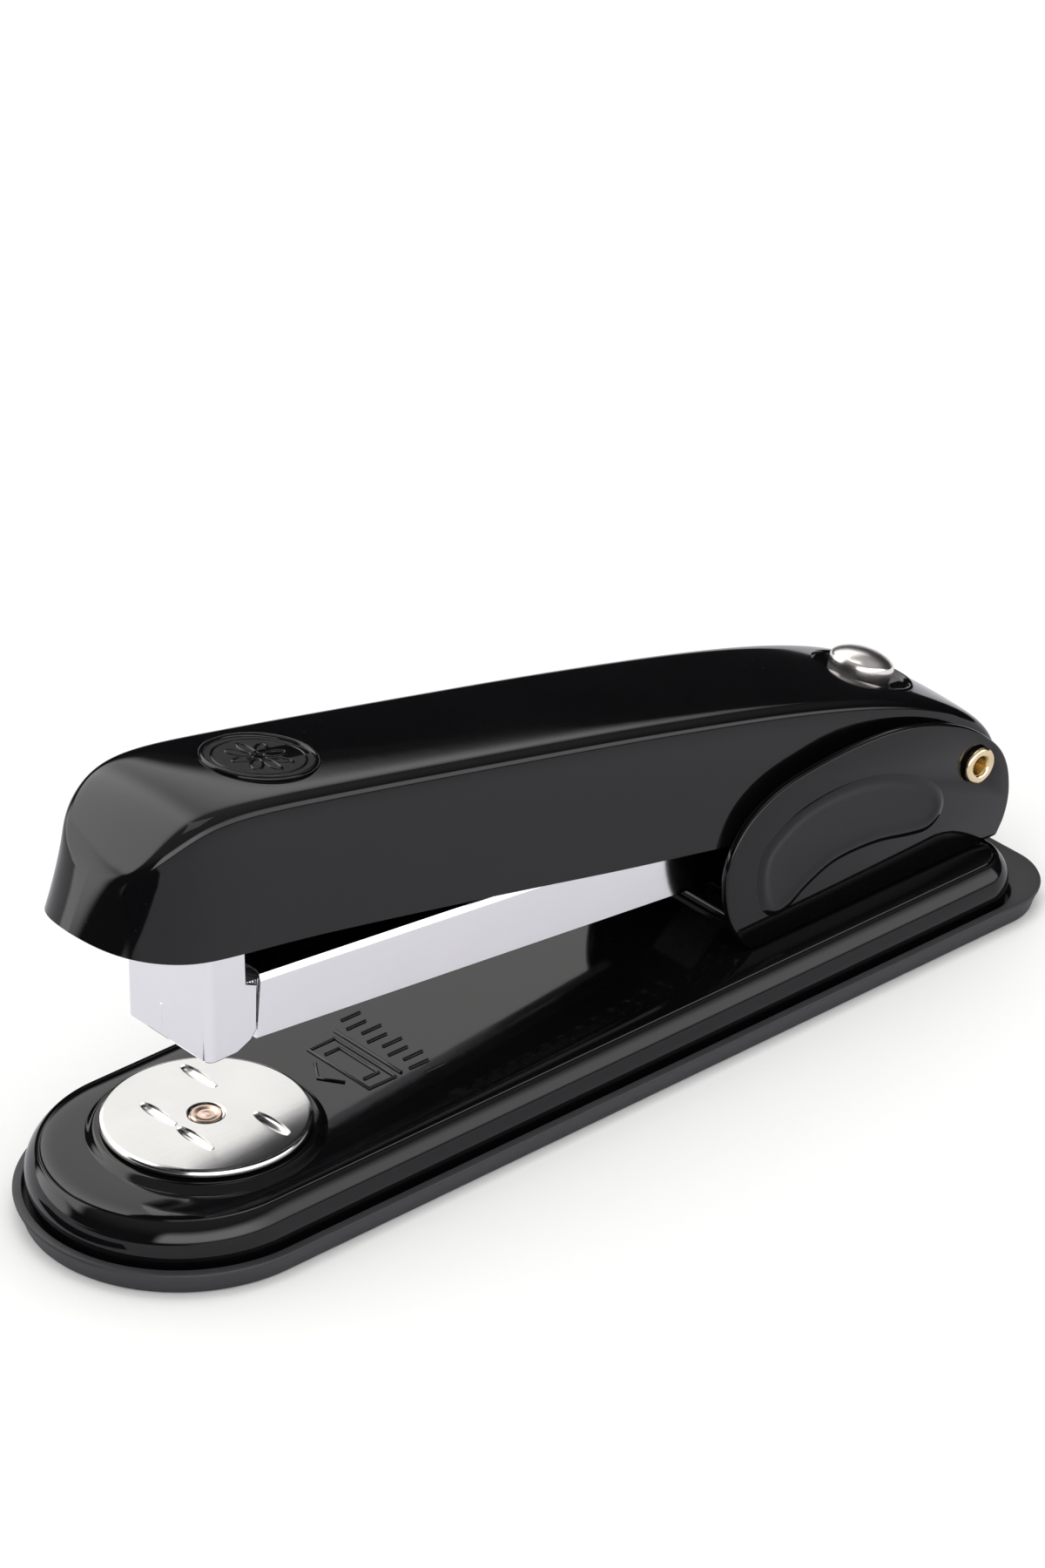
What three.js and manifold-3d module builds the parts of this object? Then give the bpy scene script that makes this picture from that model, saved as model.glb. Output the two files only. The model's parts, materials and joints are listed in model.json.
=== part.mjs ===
// A desk stapler with a sliding staple rail, in millimetres.
// +Z is up, the nose points towards -Y, and the origin is the middle of the footprint on the table.
import * as THREE from "three";
import { mergeVertices } from "three/addons/utils/BufferGeometryUtils.js";
import Module from "manifold-3d";

const wasm = await Module();
wasm.setup();

// ---------------------------------------------------------------- driving dimensions

const GAP = 0.3; // play between neighbouring pieces
const CLOSE_GAP = 0.1; // play of a piece that is clinched to its neighbour

const FOOT = {
  halfWidth: 20.8,
  halfLength: 78.8,
  flare: 1.1,
  height: 3.5,
  floor: 1.5,
  rearCorner: 11.4,
};
const FRONT_CENTRE = FOOT.halfWidth - FOOT.halfLength; // middle of the half-round front
const PAN = {
  halfWidth: 20.3,
  rear: 73.3,
  rearCorner: 6.5,
  sheet: 1.1,
  bottom: FOOT.floor + GAP,
  wallTop: 7.1,
  top: 9.3,
};
const ANVIL = { y: -54.1, radius: 13.75, top: 11.85, thickness: 1.0, grooveOffset: 4.75 };
const ANVIL_RIVET = { shank: 1.4, head: 2.1 };
const BRACKET = { outer: 14, sheet: 1.2, floor: PAN.top + GAP, front: 30, rear: 69 };
const BRACKET_RIVETS = [[0, 38], [-8, 60], [8, 60]]; // (x, y) of each
const RIVET = { shank: 1.5, head: 2.8 };
const LIFT = { sheet: 0.5, half: 4, foot: BRACKET.floor + BRACKET.sheet + GAP };
const PIVOT = { y: 68.9, z: 22.5, radius: 1.9, bore: 1.3, flange: 2.65 };
const MAGAZINE_TILT = THREE.MathUtils.degToRad(-5.7);
const CHANNEL = { outer: 7.8, sheet: 0.8, bottom: -8.8, top: 0.6, front: -120.4, rear: 3.6, ear: 4.0 };
const RAIL = { core: 5.6, sheet: 0.6, top: -1.6, flange: 6.7, flangeTop: -7.1, front: -126.3, rear: -12.4 };
const STRIP = { outer: 6.6, wire: 0.6, top: -0.8, length: 40 };
const PUSHER = { length: 12, travel: 40 };
const ROD = { radius: 0.8, height: -4.6 };
const NOSE = { half: 8.3, sheet: 0.8, front: -59.9, rear: -51.9, bottom: 25.3, top: 43 };
const COVER = {
  half: 12.2, // at the lower edge
  draft: 1.3, // how much each side leans in over its height
  lowerLevel: 31.3, // height of the lower edge where it crosses y = 0
  upperLevel: 50.9, // height of the upper edge where it crosses y = 0
  slope: 0.21, // fall of both edges towards the rear
  front: -74.8,
  upperFront: -67,
  shoulder: -64, // where the lower edge starts to round in front
  upperShoulder: -58,
  sheet: 1.0,
  edge: 1.6,
};
const BUTTON = { y: 60, z: 34.9, tilt: THREE.MathUtils.degToRad(-20.2), radius: 4.4, dish: 7.0, hole: 4.8 };
const GUIDE = { flange: 6.2, wall: 5.6, sheet: 0.5, top: -2.5, bottom: -5.8 };
const STEM = { radius: 1.4, top: -1.9, bottom: -8.0 };
const LATCH = { pivot: -19, height: 2.0, sheet: 0.8, half: 1.8 };
const LATCH_PIN = 0.8;

// ---------------------------------------------------------------- finishes

const finish = (color, roughness, metalness) => ({ color, roughness, metalness });
const BLACK_ENAMEL = finish(0x121214, 0.12, 0.0);
const CHROME = finish(0xd9dadd, 0.1, 1.0);
const BRASS = finish(0xc9a253, 0.25, 1.0);
const RUBBER = finish(0x2c2b30, 0.8, 0.0);
const STEEL = finish(0x9a9ca0, 0.35, 1.0);
const SPRING_STEEL = finish(0x6e7074, 0.3, 1.0);

// ---------------------------------------------------------------- shape helpers

const AXES = {
  // outline in (y, z), pushed along x
  X: new THREE.Matrix4().makeBasis(
    new THREE.Vector3(0, 1, 0),
    new THREE.Vector3(0, 0, 1),
    new THREE.Vector3(1, 0, 0),
  ),
  // outline in (x, z), pushed along -y
  Y: new THREE.Matrix4().makeBasis(
    new THREE.Vector3(1, 0, 0),
    new THREE.Vector3(0, 0, 1),
    new THREE.Vector3(0, -1, 0),
  ),
  // outline in (x, y), pushed along z
  Z: new THREE.Matrix4(),
};

const points = (pairs) => pairs.map(([a, b]) => new THREE.Vector2(a, b));

// An outline pushed from one place to another along an axis.
function plate(axis, outline, from, to) {
  const shape = outline instanceof THREE.Shape ? outline : new THREE.Shape(points(outline));
  const made = new THREE.ExtrudeGeometry(shape, { depth: to - from, bevelEnabled: false, curveSegments: 8 });
  made.translate(0, 0, axis === "Y" ? -to : from);
  return made.applyMatrix4(AXES[axis]);
}

const box = (x0, x1, y0, y1, z0, z1) =>
  plate("Z", [[x0, y0], [x1, y0], [x1, y1], [x0, y1]], z0, z1);

// A profile of (radius, height) pairs turned round the x, y or z axis.
function turned(axis, profile, segments = 20) {
  const made = new THREE.LatheGeometry(points(profile), segments);
  if (axis === "Z") made.rotateX(Math.PI / 2);
  if (axis === "X") made.rotateZ(-Math.PI / 2);
  return made;
}

const cylinder = (axis, radius, from, to, segments = 20) =>
  turned(axis, [[0, from], [radius, from], [radius, to], [0, to]], segments);

// A closed mesh as a solid that can be joined and cut.
function solid(geometry) {
  const bare = geometry.clone();
  bare.deleteAttribute("normal");
  bare.deleteAttribute("uv");
  const merged = mergeVertices(bare, 1e-4);
  const made = new wasm.Manifold(
    new wasm.Mesh({
      numProp: 3,
      vertProperties: new Float32Array(merged.attributes.position.array),
      triVerts: new Uint32Array(merged.index.array),
    }),
  );
  return made;
}

function geometryOf(made) {
  const mesh = made.getMesh();
  const geometry = new THREE.BufferGeometry();
  geometry.setAttribute("position", new THREE.BufferAttribute(new Float32Array(mesh.vertProperties), 3));
  geometry.setIndex(new THREE.BufferAttribute(new Uint32Array(mesh.triVerts), 1));
  return geometry;
}

// The first geometry, with the others joined to it or cut from it.
const join = (first, ...others) =>
  geometryOf(others.reduce((made, other) => made.add(solid(other)), solid(first)));
const cut = (first, ...others) =>
  geometryOf(others.reduce((made, other) => made.subtract(solid(other)), solid(first)));
const common = (first, other) => geometryOf(solid(first).intersect(solid(other)));

// A closed skin through rings of points that all have the same count; the first and last ring are capped.
function loft(rings) {
  const count = rings[0].length;
  const vertices = rings.flat().flatMap((p) => [p.x, p.y, p.z]);
  const index = [];
  for (let r = 0; r + 1 < rings.length; r++) {
    for (let i = 0; i < count; i++) {
      const a = r * count + i;
      const b = r * count + ((i + 1) % count);
      index.push(a, b, b + count, a, b + count, a + count);
    }
  }
  const flat = rings[0].map((p) => new THREE.Vector2(p.x, p.y));
  const last = (rings.length - 1) * count;
  for (const [a, b, c] of THREE.ShapeUtils.triangulateShape(flat, [])) {
    index.push(a, c, b);
    index.push(last + a, last + b, last + c);
  }
  const made = new THREE.BufferGeometry();
  made.setAttribute("position", new THREE.Float32BufferAttribute(vertices, 3));
  made.setIndex(index);
  return made;
}

// A wire of round section wound into a coil along z.
function coil(radius, wire, from, to, turns, stepsPerTurn = 9) {
  const path = [];
  const steps = turns * stepsPerTurn;
  for (let i = 0; i <= steps; i++) {
    const angle = (i / stepsPerTurn) * 2 * Math.PI;
    const height = THREE.MathUtils.lerp(from + wire, to - wire, i / steps);
    path.push(new THREE.Vector3(radius * Math.cos(angle), radius * Math.sin(angle), height));
  }
  const section = new THREE.Shape();
  section.absarc(0, 0, wire, 0, 2 * Math.PI);
  return new THREE.ExtrudeGeometry(section, {
    steps,
    curveSegments: 3,
    bevelEnabled: false,
    extrudePath: new THREE.CatmullRomCurve3(path),
  });
}

function piece(parent, name, geometry, look) {
  const made = new THREE.Mesh(geometry, new THREE.MeshStandardMaterial(look));
  made.name = name;
  parent.add(made);
  return made;
}

const stapler = new THREE.Group();

// ---------------------------------------------------------------- base: foot, pan, anvil, bracket

// A footprint at a height: a half-round front and two rounded rear corners, drawn inwards by an inset.
function footprint({ halfWidth, rear: rearEdge, rearCorner }, inset, z) {
  const half = halfWidth - inset;
  const rear = rearEdge - inset;
  const corner = rearCorner - inset;
  const ring = [];
  const arc = (x, y, radius, start, end, steps) => {
    for (let i = 0; i <= steps; i++) {
      const angle = THREE.MathUtils.lerp(start, end, i / steps);
      ring.push(new THREE.Vector3(x + radius * Math.cos(angle), y + radius * Math.sin(angle), z));
    }
  };
  arc(0, FRONT_CENTRE, half, Math.PI, 2 * Math.PI, 24);
  arc(half - corner, rear - corner, corner, 0, Math.PI / 2, 6);
  arc(corner - half, rear - corner, corner, Math.PI / 2, Math.PI, 6);
  return ring;
}

function rubberFoot() {
  const { halfWidth, halfLength, rearCorner, flare, height, floor } = FOOT;
  const sole = { halfWidth, rear: halfLength, rearCorner };
  return loft([
    footprint(sole, 0, 0),
    footprint(sole, -flare, height - 0.4),
    footprint(sole, 0.4 - flare, height),
    footprint(PAN, -GAP, height),
    footprint(PAN, -GAP, floor),
  ]);
}

function basePan() {
  const ring = (inset, z) => footprint(PAN, inset, z);
  const shell = loft([
    ring(PAN.sheet + 1.2, PAN.top - PAN.sheet),
    ring(PAN.sheet, PAN.wallTop - 0.6),
    ring(PAN.sheet, PAN.bottom),
    ring(0, PAN.bottom),
    ring(0, PAN.wallTop),
    ring(0.25, 8.2),
    ring(0.75, 8.95),
    ring(1.4, PAN.top),
    ring(1.8, PAN.top - 0.3),
    ring(2.3, PAN.top),
  ]);
  const seat = ANVIL.top - ANVIL.thickness - GAP;
  const boss = turned("Z", [
    [0, PAN.top - PAN.sheet],
    [15.4, PAN.top - PAN.sheet],
    [15.4, PAN.top + 0.05],
    [14.4, PAN.top + 0.4],
    [14.1, seat - 0.3],
    [13.8, seat],
    [0, seat],
  ], 40).translate(0, ANVIL.y, 0);
  const hollow = cylinder("Z", 13, 5, seat - PAN.sheet, 32).translate(0, ANVIL.y, 0);
  const rivetHole = cylinder("Z", ANVIL_RIVET.shank + GAP, 5, 15, 16).translate(0, ANVIL.y, 0);
  const bracketHoles = BRACKET_RIVETS.map(([x, y]) =>
    cylinder("Z", RIVET.shank + GAP, 5, 15, 12).translate(x, y, 0));
  return cut(join(shell, boss), hollow, rivetHole, ...bracketHoles);
}

// A turning anvil plate with a near pair of grooves that close the staple and a far pair that open it.
function anvilDisc() {
  const bottom = ANVIL.top - ANVIL.thickness;
  const plateGeometry = turned("Z", [
    [ANVIL_RIVET.shank + GAP, bottom],
    [ANVIL.radius - 0.3, bottom],
    [ANVIL.radius, bottom + 0.3],
    [ANVIL.radius, ANVIL.top - 0.3],
    [ANVIL.radius - 0.3, ANVIL.top],
    [ANVIL_RIVET.head + GAP, ANVIL.top],
    [ANVIL_RIVET.head + GAP, ANVIL.top - 0.5],
    [ANVIL_RIVET.shank + GAP, ANVIL.top - 0.5],
    [ANVIL_RIVET.shank + GAP, bottom],
  ], 40);
  const groove = { radius: 8.1, depth: 0.65, width: 1.7 };
  const cutter = (x, y) =>
    cylinder("Y", groove.radius, -groove.width / 2, groove.width / 2, 40)
      .translate(x, y, ANVIL.top + groove.radius - groove.depth);
  const near = 3.75;
  const far = 7.4;
  return cut(
    plateGeometry,
    cutter(near, -ANVIL.grooveOffset),
    cutter(-near, -ANVIL.grooveOffset),
    cutter(far, ANVIL.grooveOffset),
    cutter(-far, ANVIL.grooveOffset),
  ).translate(0, ANVIL.y, 0);
}

function anvilRivet() {
  const underside = ANVIL.top - ANVIL.thickness - GAP - PAN.sheet;
  return turned("Z", [
    [0, underside - 2.2],
    [3, underside - 2.2],
    [3, underside - 1.5],
    [ANVIL_RIVET.shank, underside - 1.5],
    [ANVIL_RIVET.shank, ANVIL.top - 0.35],
    [ANVIL_RIVET.head, ANVIL.top - 0.3],
    [ANVIL_RIVET.head, ANVIL.top - 0.05],
    [ANVIL_RIVET.head - 0.4, ANVIL.top],
    [0, ANVIL.top],
  ], 20).translate(0, ANVIL.y, 0);
}

// A dished washer that presses the anvil down on its seat.
function anvilSpring() {
  const underside = ANVIL.top - ANVIL.thickness - GAP - PAN.sheet;
  return turned("Z", [
    [1.8, underside - 1.2],
    [5.2, underside - 0.6],
    [5.2, underside - 0.3],
    [1.8, underside - 0.9],
    [1.8, underside - 1.2],
  ], 20).translate(0, ANVIL.y, 0);
}

const base = new THREE.Group();
stapler.add(base);
piece(base, "rubber_foot", rubberFoot(), RUBBER);
piece(base, "base_pan", basePan(), BLACK_ENAMEL);
piece(base, "anvil_rivet", anvilRivet(), BRASS);
piece(base, "anvil_spring", anvilSpring(), SPRING_STEEL);
piece(base, "anvil_disc", anvilDisc(), CHROME);

// One cheek of the pivot bracket, seen from the side.
function cheekOutline() {
  const outline = new THREE.Shape();
  outline.moveTo(73, BRACKET.floor);
  outline.quadraticCurveTo(75.4, 13, 75.5, 16.8);
  outline.quadraticCurveTo(75.2, 21, 73.3, 23.4);
  outline.quadraticCurveTo(67.5, 29.6, 60.9, 31.7);
  outline.quadraticCurveTo(53, 34.2, 44, 33.9);
  outline.quadraticCurveTo(33, 33.4, 28, 30.6);
  outline.quadraticCurveTo(22.8, 26.6, 22.8, 20.5);
  outline.quadraticCurveTo(23, 13, 27.7, BRACKET.floor);
  return outline;
}

function cheekBracket() {
  const { outer, sheet, floor, front, rear } = BRACKET;
  const body = join(
    box(-outer + 0.1, outer - 0.1, front, rear, floor, floor + sheet),
    plate("X", cheekOutline(), outer - sheet, outer),
    plate("X", cheekOutline(), -outer, sheet - outer),
  );
  const axle = cylinder("X", PIVOT.radius + GAP, -20, 20, 20).translate(0, PIVOT.y, PIVOT.z);
  const holes = BRACKET_RIVETS.map(([x, y]) =>
    cylinder("Z", RIVET.shank + GAP, 5, 15, 12).translate(x, y, 0));
  return cut(body, axle, ...holes);
}

function bracketRivet(x, y, seat) {
  const under = PAN.top - PAN.sheet - GAP;
  return turned("Z", [
    [0, under - 1],
    [RIVET.head - 0.5, under - 1],
    [RIVET.head, under],
    [RIVET.shank, under],
    [RIVET.shank, seat],
    [RIVET.head, seat],
    [RIVET.head - 0.8, seat + 0.9],
    [0, seat + 1.1],
  ], 14).translate(x, y, 0);
}

// A leaf that lifts the magazine: a foot under the front rivet and a tongue that rises forwards.

function liftSpring() {
  const { sheet, half, foot } = LIFT;
  const leaf = plate("X", [
    [44, foot],
    [44, foot + sheet],
    [33.2, foot + sheet],
    [26.5, 17.3],
    [22.5, 17.9],
    [21.5, 17.4],
    [26, 16.7],
    [33, foot],
  ], -half, half);
  const [x, y] = BRACKET_RIVETS[0];
  return cut(leaf, cylinder("Z", RIVET.shank + GAP, 5, 15, 12).translate(x, y, 0));
}

// The hollow pivot eyelet with its two rolled flanges.
function pivotEyelet() {
  const end = BRACKET.outer + GAP;
  const { radius, bore, flange } = PIVOT;
  return turned("X", [
    [bore, -end - 0.5],
    [flange - 0.3, -end - 0.6],
    [flange, -end - 0.3],
    [flange, -end],
    [radius, -end],
    [radius, end],
    [flange, end],
    [flange, end + 0.3],
    [flange - 0.3, end + 0.6],
    [bore, end + 0.5],
    [bore, -end - 0.5],
  ], 24).translate(0, PIVOT.y, PIVOT.z);
}

// A tube round the eyelet that keeps two walls apart.
function spacer(from, to) {
  const inner = PIVOT.radius + GAP;
  return turned("X", [
    [inner, from],
    [inner + 0.8, from],
    [inner + 0.8, to],
    [inner, to],
    [inner, from],
  ], 20).translate(0, PIVOT.y, PIVOT.z);
}

piece(base, "cheek_bracket", cheekBracket(), BLACK_ENAMEL);
BRACKET_RIVETS.forEach(([x, y], i) => {
  const seat = LIFT.foot + (i === 0 ? LIFT.sheet + GAP : 0);
  piece(base, `bracket_rivet_${i + 1}`, bracketRivet(x, y, seat), STEEL);
});
piece(base, "lift_spring", liftSpring(), SPRING_STEEL);
piece(base, "pivot_eyelet", pivotEyelet(), BRASS);

// ---------------------------------------------------------------- magazine, in its own tilted frame at the pivot

const magazine = new THREE.Group();
magazine.position.set(0, PIVOT.y, PIVOT.z);
magazine.rotation.x = MAGAZINE_TILT;
stapler.add(magazine);

// The fixed channel: closed above, open below, with small lips that carry the sliding rail.
function magazineChannel() {
  const { outer, sheet, bottom, top, front, rear, ear } = CHANNEL;
  const inner = outer - sheet;
  const lip = inner - 0.9;
  const section = [
    [-outer, bottom],
    [-lip, bottom],
    [-lip, bottom + sheet],
    [-inner, bottom + sheet],
    [-inner, top - sheet],
    [inner, top - sheet],
    [inner, bottom + sheet],
    [lip, bottom + sheet],
    [lip, bottom],
    [outer, bottom],
    [outer, top - 1.2],
    [outer - 0.35, top - 0.35],
    [outer - 1.2, top],
    [1.2 - outer, top],
    [0.35 - outer, top - 0.35],
    [-outer, top - 1.2],
  ];
  const ears = [-1, 1].flatMap((side) => [
    cylinder("X", ear, side > 0 ? inner : -outer, side > 0 ? outer : -inner, 24),
    box(side > 0 ? 2.5 : -3.3, side > 0 ? 3.3 : -2.5, LATCH.pivot - 2.5, LATCH.pivot + 2.5, top - 0.3, LATCH.height + 1.8),
  ]);
  const tongue = box(-2.5, 2.5, LATCH.pivot - 9, LATCH.pivot + 12, -3, 5);
  const eyeletRoom = box(-inner, inner, -7.5, 10, -0.5, 8);
  return cut(
    join(plate("Y", section, front, rear), ...ears),
    tongue,
    eyeletRoom,
    cylinder("X", PIVOT.radius + GAP, -20, 20, 20),
    cylinder("X", LATCH_PIN + GAP, -5, 5, 12).translate(0, LATCH.pivot, LATCH.height),
  );
}

// The lever that holds the rail shut: a pad under the button stem, a pivot, and a hook in front.
function latchLever() {
  const { pivot, height, sheet, half } = LATCH;
  const low = height - sheet / 2;
  const side = plate("X", [
    [-9.6, low],
    [-9.6, low + sheet],
    [pivot + 1.6, low + sheet],
    [pivot + 1.1, height + 1.6],
    [pivot - 1.1, height + 1.6],
    [pivot - 1.6, low + sheet],
    [-26.2, low + sheet],
    [-26.2, RAIL.top + GAP],
    [-25.4, RAIL.top + GAP],
    [-25.4, low],
    [pivot - 1.6, low],
    [pivot - 1.1, height - 1.5],
    [pivot + 1.1, height - 1.5],
    [pivot + 1.6, low],
  ], -half, half);
  return cut(side, cylinder("X", LATCH_PIN + GAP, -5, 5, 12).translate(0, pivot, height));
}

function latchPin() {
  const end = 3.9;
  return turned("X", [
    [0, -end - 0.5],
    [1.2, -end - 0.5],
    [1.2, GAP - end],
    [LATCH_PIN, GAP - end],
    [LATCH_PIN, end - GAP],
    [1.2, end - GAP],
    [1.2, end + 0.5],
    [0, end + 0.5],
  ], 12).translate(0, LATCH.pivot, LATCH.height);
}

// A leaf that presses the hook end of the lever down.
function latchSpring() {
  const { top } = CHANNEL;
  return plate("X", [
    [-42, top + GAP],
    [-34, top + GAP],
    [-27.5, 2.7],
    [-25.2, 2.7],
    [-25.2, 3.1],
    [-27.7, 3.1],
    [-34.2, top + GAP + 0.4],
    [-42, top + GAP + 0.4],
  ], -1.5, 1.5);
}

piece(magazine, "magazine_channel", magazineChannel(), CHROME);
piece(magazine, "latch_lever", latchLever(), STEEL);
piece(magazine, "latch_pin", latchPin(), STEEL);
piece(magazine, "latch_spring", latchSpring(), SPRING_STEEL);

// The spacers turn on the eyelet: one inside the channel, one on each side between channel and cover.
const channelInside = CHANNEL.outer - CHANNEL.sheet - GAP;
const coverInside = COVER.half - COVER.sheet - 0.8;
piece(base, "pivot_sleeve", spacer(-channelInside, channelInside), STEEL);
piece(base, "pivot_washer_left", spacer(-coverInside, -CHANNEL.outer - GAP), STEEL);
piece(base, "pivot_washer_right", spacer(CHANNEL.outer + GAP, coverInside), STEEL);

// ---------------------------------------------------------------- sliding rail with staples

function stapleRail() {
  const { core, sheet, top, flange, flangeTop, front, rear } = RAIL;
  const low = flangeTop - sheet;
  const section = [
    [-flange, low],
    [sheet - core, low],
    [sheet - core, top - sheet],
    [core - sheet, top - sheet],
    [core - sheet, low],
    [flange, low],
    [flange, flangeTop],
    [core, flangeTop],
    [core, top],
    [-core, top],
    [-core, flangeTop],
    [-flange, flangeTop],
  ];
  const wall = (y) => box(0.2 - core, core - 0.2, y, y + sheet, low, top - 0.2);
  const slotFront = front + STRIP.length + 2;
  const slotRear = slotFront + PUSHER.length + PUSHER.travel;
  return cut(
    join(plate("Y", section, front, rear), wall(front), wall(rear - sheet)),
    box(-2.4, 2.4, slotFront, slotRear, top - 1.5, top + 1),
    cylinder("Y", ROD.radius + GAP, front - 5, rear + 5, 12).translate(0, 0, ROD.height),
  );
}

// The nose cap: a bent strip with a flat front and two wings, cut to shape seen from the side.
function noseCap() {
  const { half, sheet, front, rear, bottom, top } = NOSE;
  const inner = half - sheet;
  const plan = new THREE.Shape();
  plan.moveTo(half, rear + 1);
  plan.lineTo(inner, rear + 1);
  plan.lineTo(inner, front + sheet + 0.6);
  plan.lineTo(inner - 0.6, front + sheet);
  plan.lineTo(0.6 - inner, front + sheet);
  plan.lineTo(-inner, front + sheet + 0.6);
  plan.lineTo(-inner, rear + 1);
  plan.lineTo(-half, rear + 1);
  plan.lineTo(-half, front + 1.2);
  plan.absarc(1.2 - half, front + 1.2, 1.2, Math.PI, 1.5 * Math.PI);
  plan.absarc(half - 1.2, front + 1.2, 1.2, 1.5 * Math.PI, 2 * Math.PI);
  const side = plate("X", [
    [front - 1, bottom],
    [front + 4.6, bottom],
    [front + 6.8, bottom + 1],
    [rear - 0.2, bottom + 2.2],
    [rear, bottom + 8.6],
    [rear - 1.7, bottom + 9.4],
    [rear - 1.8, top],
    [front - 1, top],
  ], -half - 1, half + 1);
  return common(plate("Z", plan, bottom - 1, top + 1), side);
}

function stapleStrip() {
  const { outer, wire, top, length } = STRIP;
  const low = RAIL.flangeTop + GAP;
  const inner = outer - wire;
  return plate("Y", [
    [-outer, low],
    [-inner, low],
    [-inner, top - 0.5],
    [inner, top - 0.5],
    [inner, low],
    [outer, low],
    [outer, top],
    [-outer, top],
  ], RAIL.front, RAIL.front + length);
}

// A saddle over the rail, with a tongue through the slot that rides on the rod.
function pusher() {
  const start = RAIL.front + STRIP.length + GAP;
  const low = RAIL.flangeTop + GAP;
  const saddle = plate("Y", [
    [-6.5, low],
    [-5.95, low],
    [-5.95, -1.25],
    [5.95, -1.25],
    [5.95, low],
    [6.5, low],
    [6.5, -0.65],
    [-6.5, -0.65],
  ], start, start + PUSHER.length);
  const tongue = box(-2, 2, start + 6, start + 7.5, -6.3, -1);
  const eye = cylinder("Y", ROD.radius + GAP, start - 5, start + 20, 12).translate(0, 0, ROD.height);
  return cut(join(saddle, tongue), eye);
}

function springRod() {
  const back = RAIL.rear + GAP;
  const front = RAIL.front + 0.1;
  return turned("Y", [
    [0, front],
    [ROD.radius, front],
    [ROD.radius, back],
    [1.6, back],
    [1.6, back + 0.6],
    [0, back + 0.6],
  ], 10).translate(0, 0, ROD.height);
}

function pusherSpring() {
  const from = RAIL.front + STRIP.length + GAP + 7.8;
  const to = RAIL.rear - RAIL.sheet - GAP;
  return coil(1.9, 0.3, from, to, 16, 8).rotateX(-Math.PI / 2).translate(0, 0, ROD.height);
}

piece(magazine, "staple_rail", stapleRail(), STEEL);
piece(magazine, "staple_strip", stapleStrip(), STEEL);
piece(magazine, "pusher", pusher(), STEEL);
piece(magazine, "spring_rod", springRod(), STEEL);
piece(magazine, "pusher_spring", pusherSpring(), SPRING_STEEL);
piece(stapler, "nose_cap", noseCap(), CHROME);

// ---------------------------------------------------------------- cover with its driver and springs

// The cover seen from the side, drawn inwards by an inset, and open below for an inner copy.
function coverOutline(inset, drop) {
  const outline = new THREE.Shape();
  outline.moveTo(-74.8 + inset, 44 - drop);
  outline.lineTo(-74.6 + inset, 47);
  outline.lineTo(-71.6 + inset, 54.4);
  outline.quadraticCurveTo(-69.6 + inset, 58.6, -66.4 + inset * 0.8, 61.1 - inset * 0.7);
  outline.quadraticCurveTo(-62 + inset * 0.4, 64 - inset, -55.3, 62.7 - inset);
  outline.quadraticCurveTo(-36.2, 58.9 - inset, -10.5, 53.1 - inset);
  outline.quadraticCurveTo(18, 47.1 - inset, 36.1, 42.4 - inset);
  outline.quadraticCurveTo(54, 37.6 - inset, 64.5 - inset * 0.4, 32.9 - inset);
  outline.quadraticCurveTo(75.4 - inset, 27.3 - inset * 0.6, 76.3 - inset, 20.6);
  outline.quadraticCurveTo(76.4 - inset, 17.6, 74.6 - inset, 15.6);
  outline.lineTo(73.6 - inset, 12 - drop);
  outline.lineTo(-50, 24 - drop);
  return outline;
}

// The space below the cover's lower edge.
const belowCover = () => plate("X", [
  [-90, 49.6],
  [-71, 46.3],
  [-63, 43.8],
  [-40.2, 39.3],
  [-11.3, 33.6],
  [10.5, 28.7],
  [20.4, 26.9],
  [58, 18.6],
  [63.2, 15.8],
  [90, 15.6],
  [90, -40],
  [-90, -40],
], -40, 40);

// The cover in plan at a level, blunt in front with wide rounded corners; the rear is left long.
function coverPlan(inset, level) {
  const share = (level - COVER.lowerLevel) / (COVER.upperLevel - COVER.lowerLevel);
  const half = COVER.half + 1 - inset;
  const front = THREE.MathUtils.lerp(COVER.front, COVER.upperFront, share) + inset;
  const shoulder = THREE.MathUtils.lerp(COVER.shoulder, COVER.upperShoulder, share);
  const wide = COVER.half - inset - COVER.draft * share;
  const lean = (y) => level - COVER.slope * y;
  const curve = new THREE.CubicBezierCurve(
    new THREE.Vector2(wide, shoulder),
    new THREE.Vector2(wide, shoulder - 5.5),
    new THREE.Vector2(wide * 0.62, front + 0.6),
    new THREE.Vector2(0, front),
  );
  const right = curve.getPoints(10);
  const left = right.slice(0, -1).reverse().map((p) => new THREE.Vector2(-p.x, p.y));
  const rear = [new THREE.Vector2(-half, 90), new THREE.Vector2(half, 90), new THREE.Vector2(half, -50)];
  const outline = [new THREE.Vector2(-half, -50), ...rear, ...right, ...left];
  return outline.reverse().map((p) => new THREE.Vector3(p.x, p.y, lean(p.y)));
}

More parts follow.
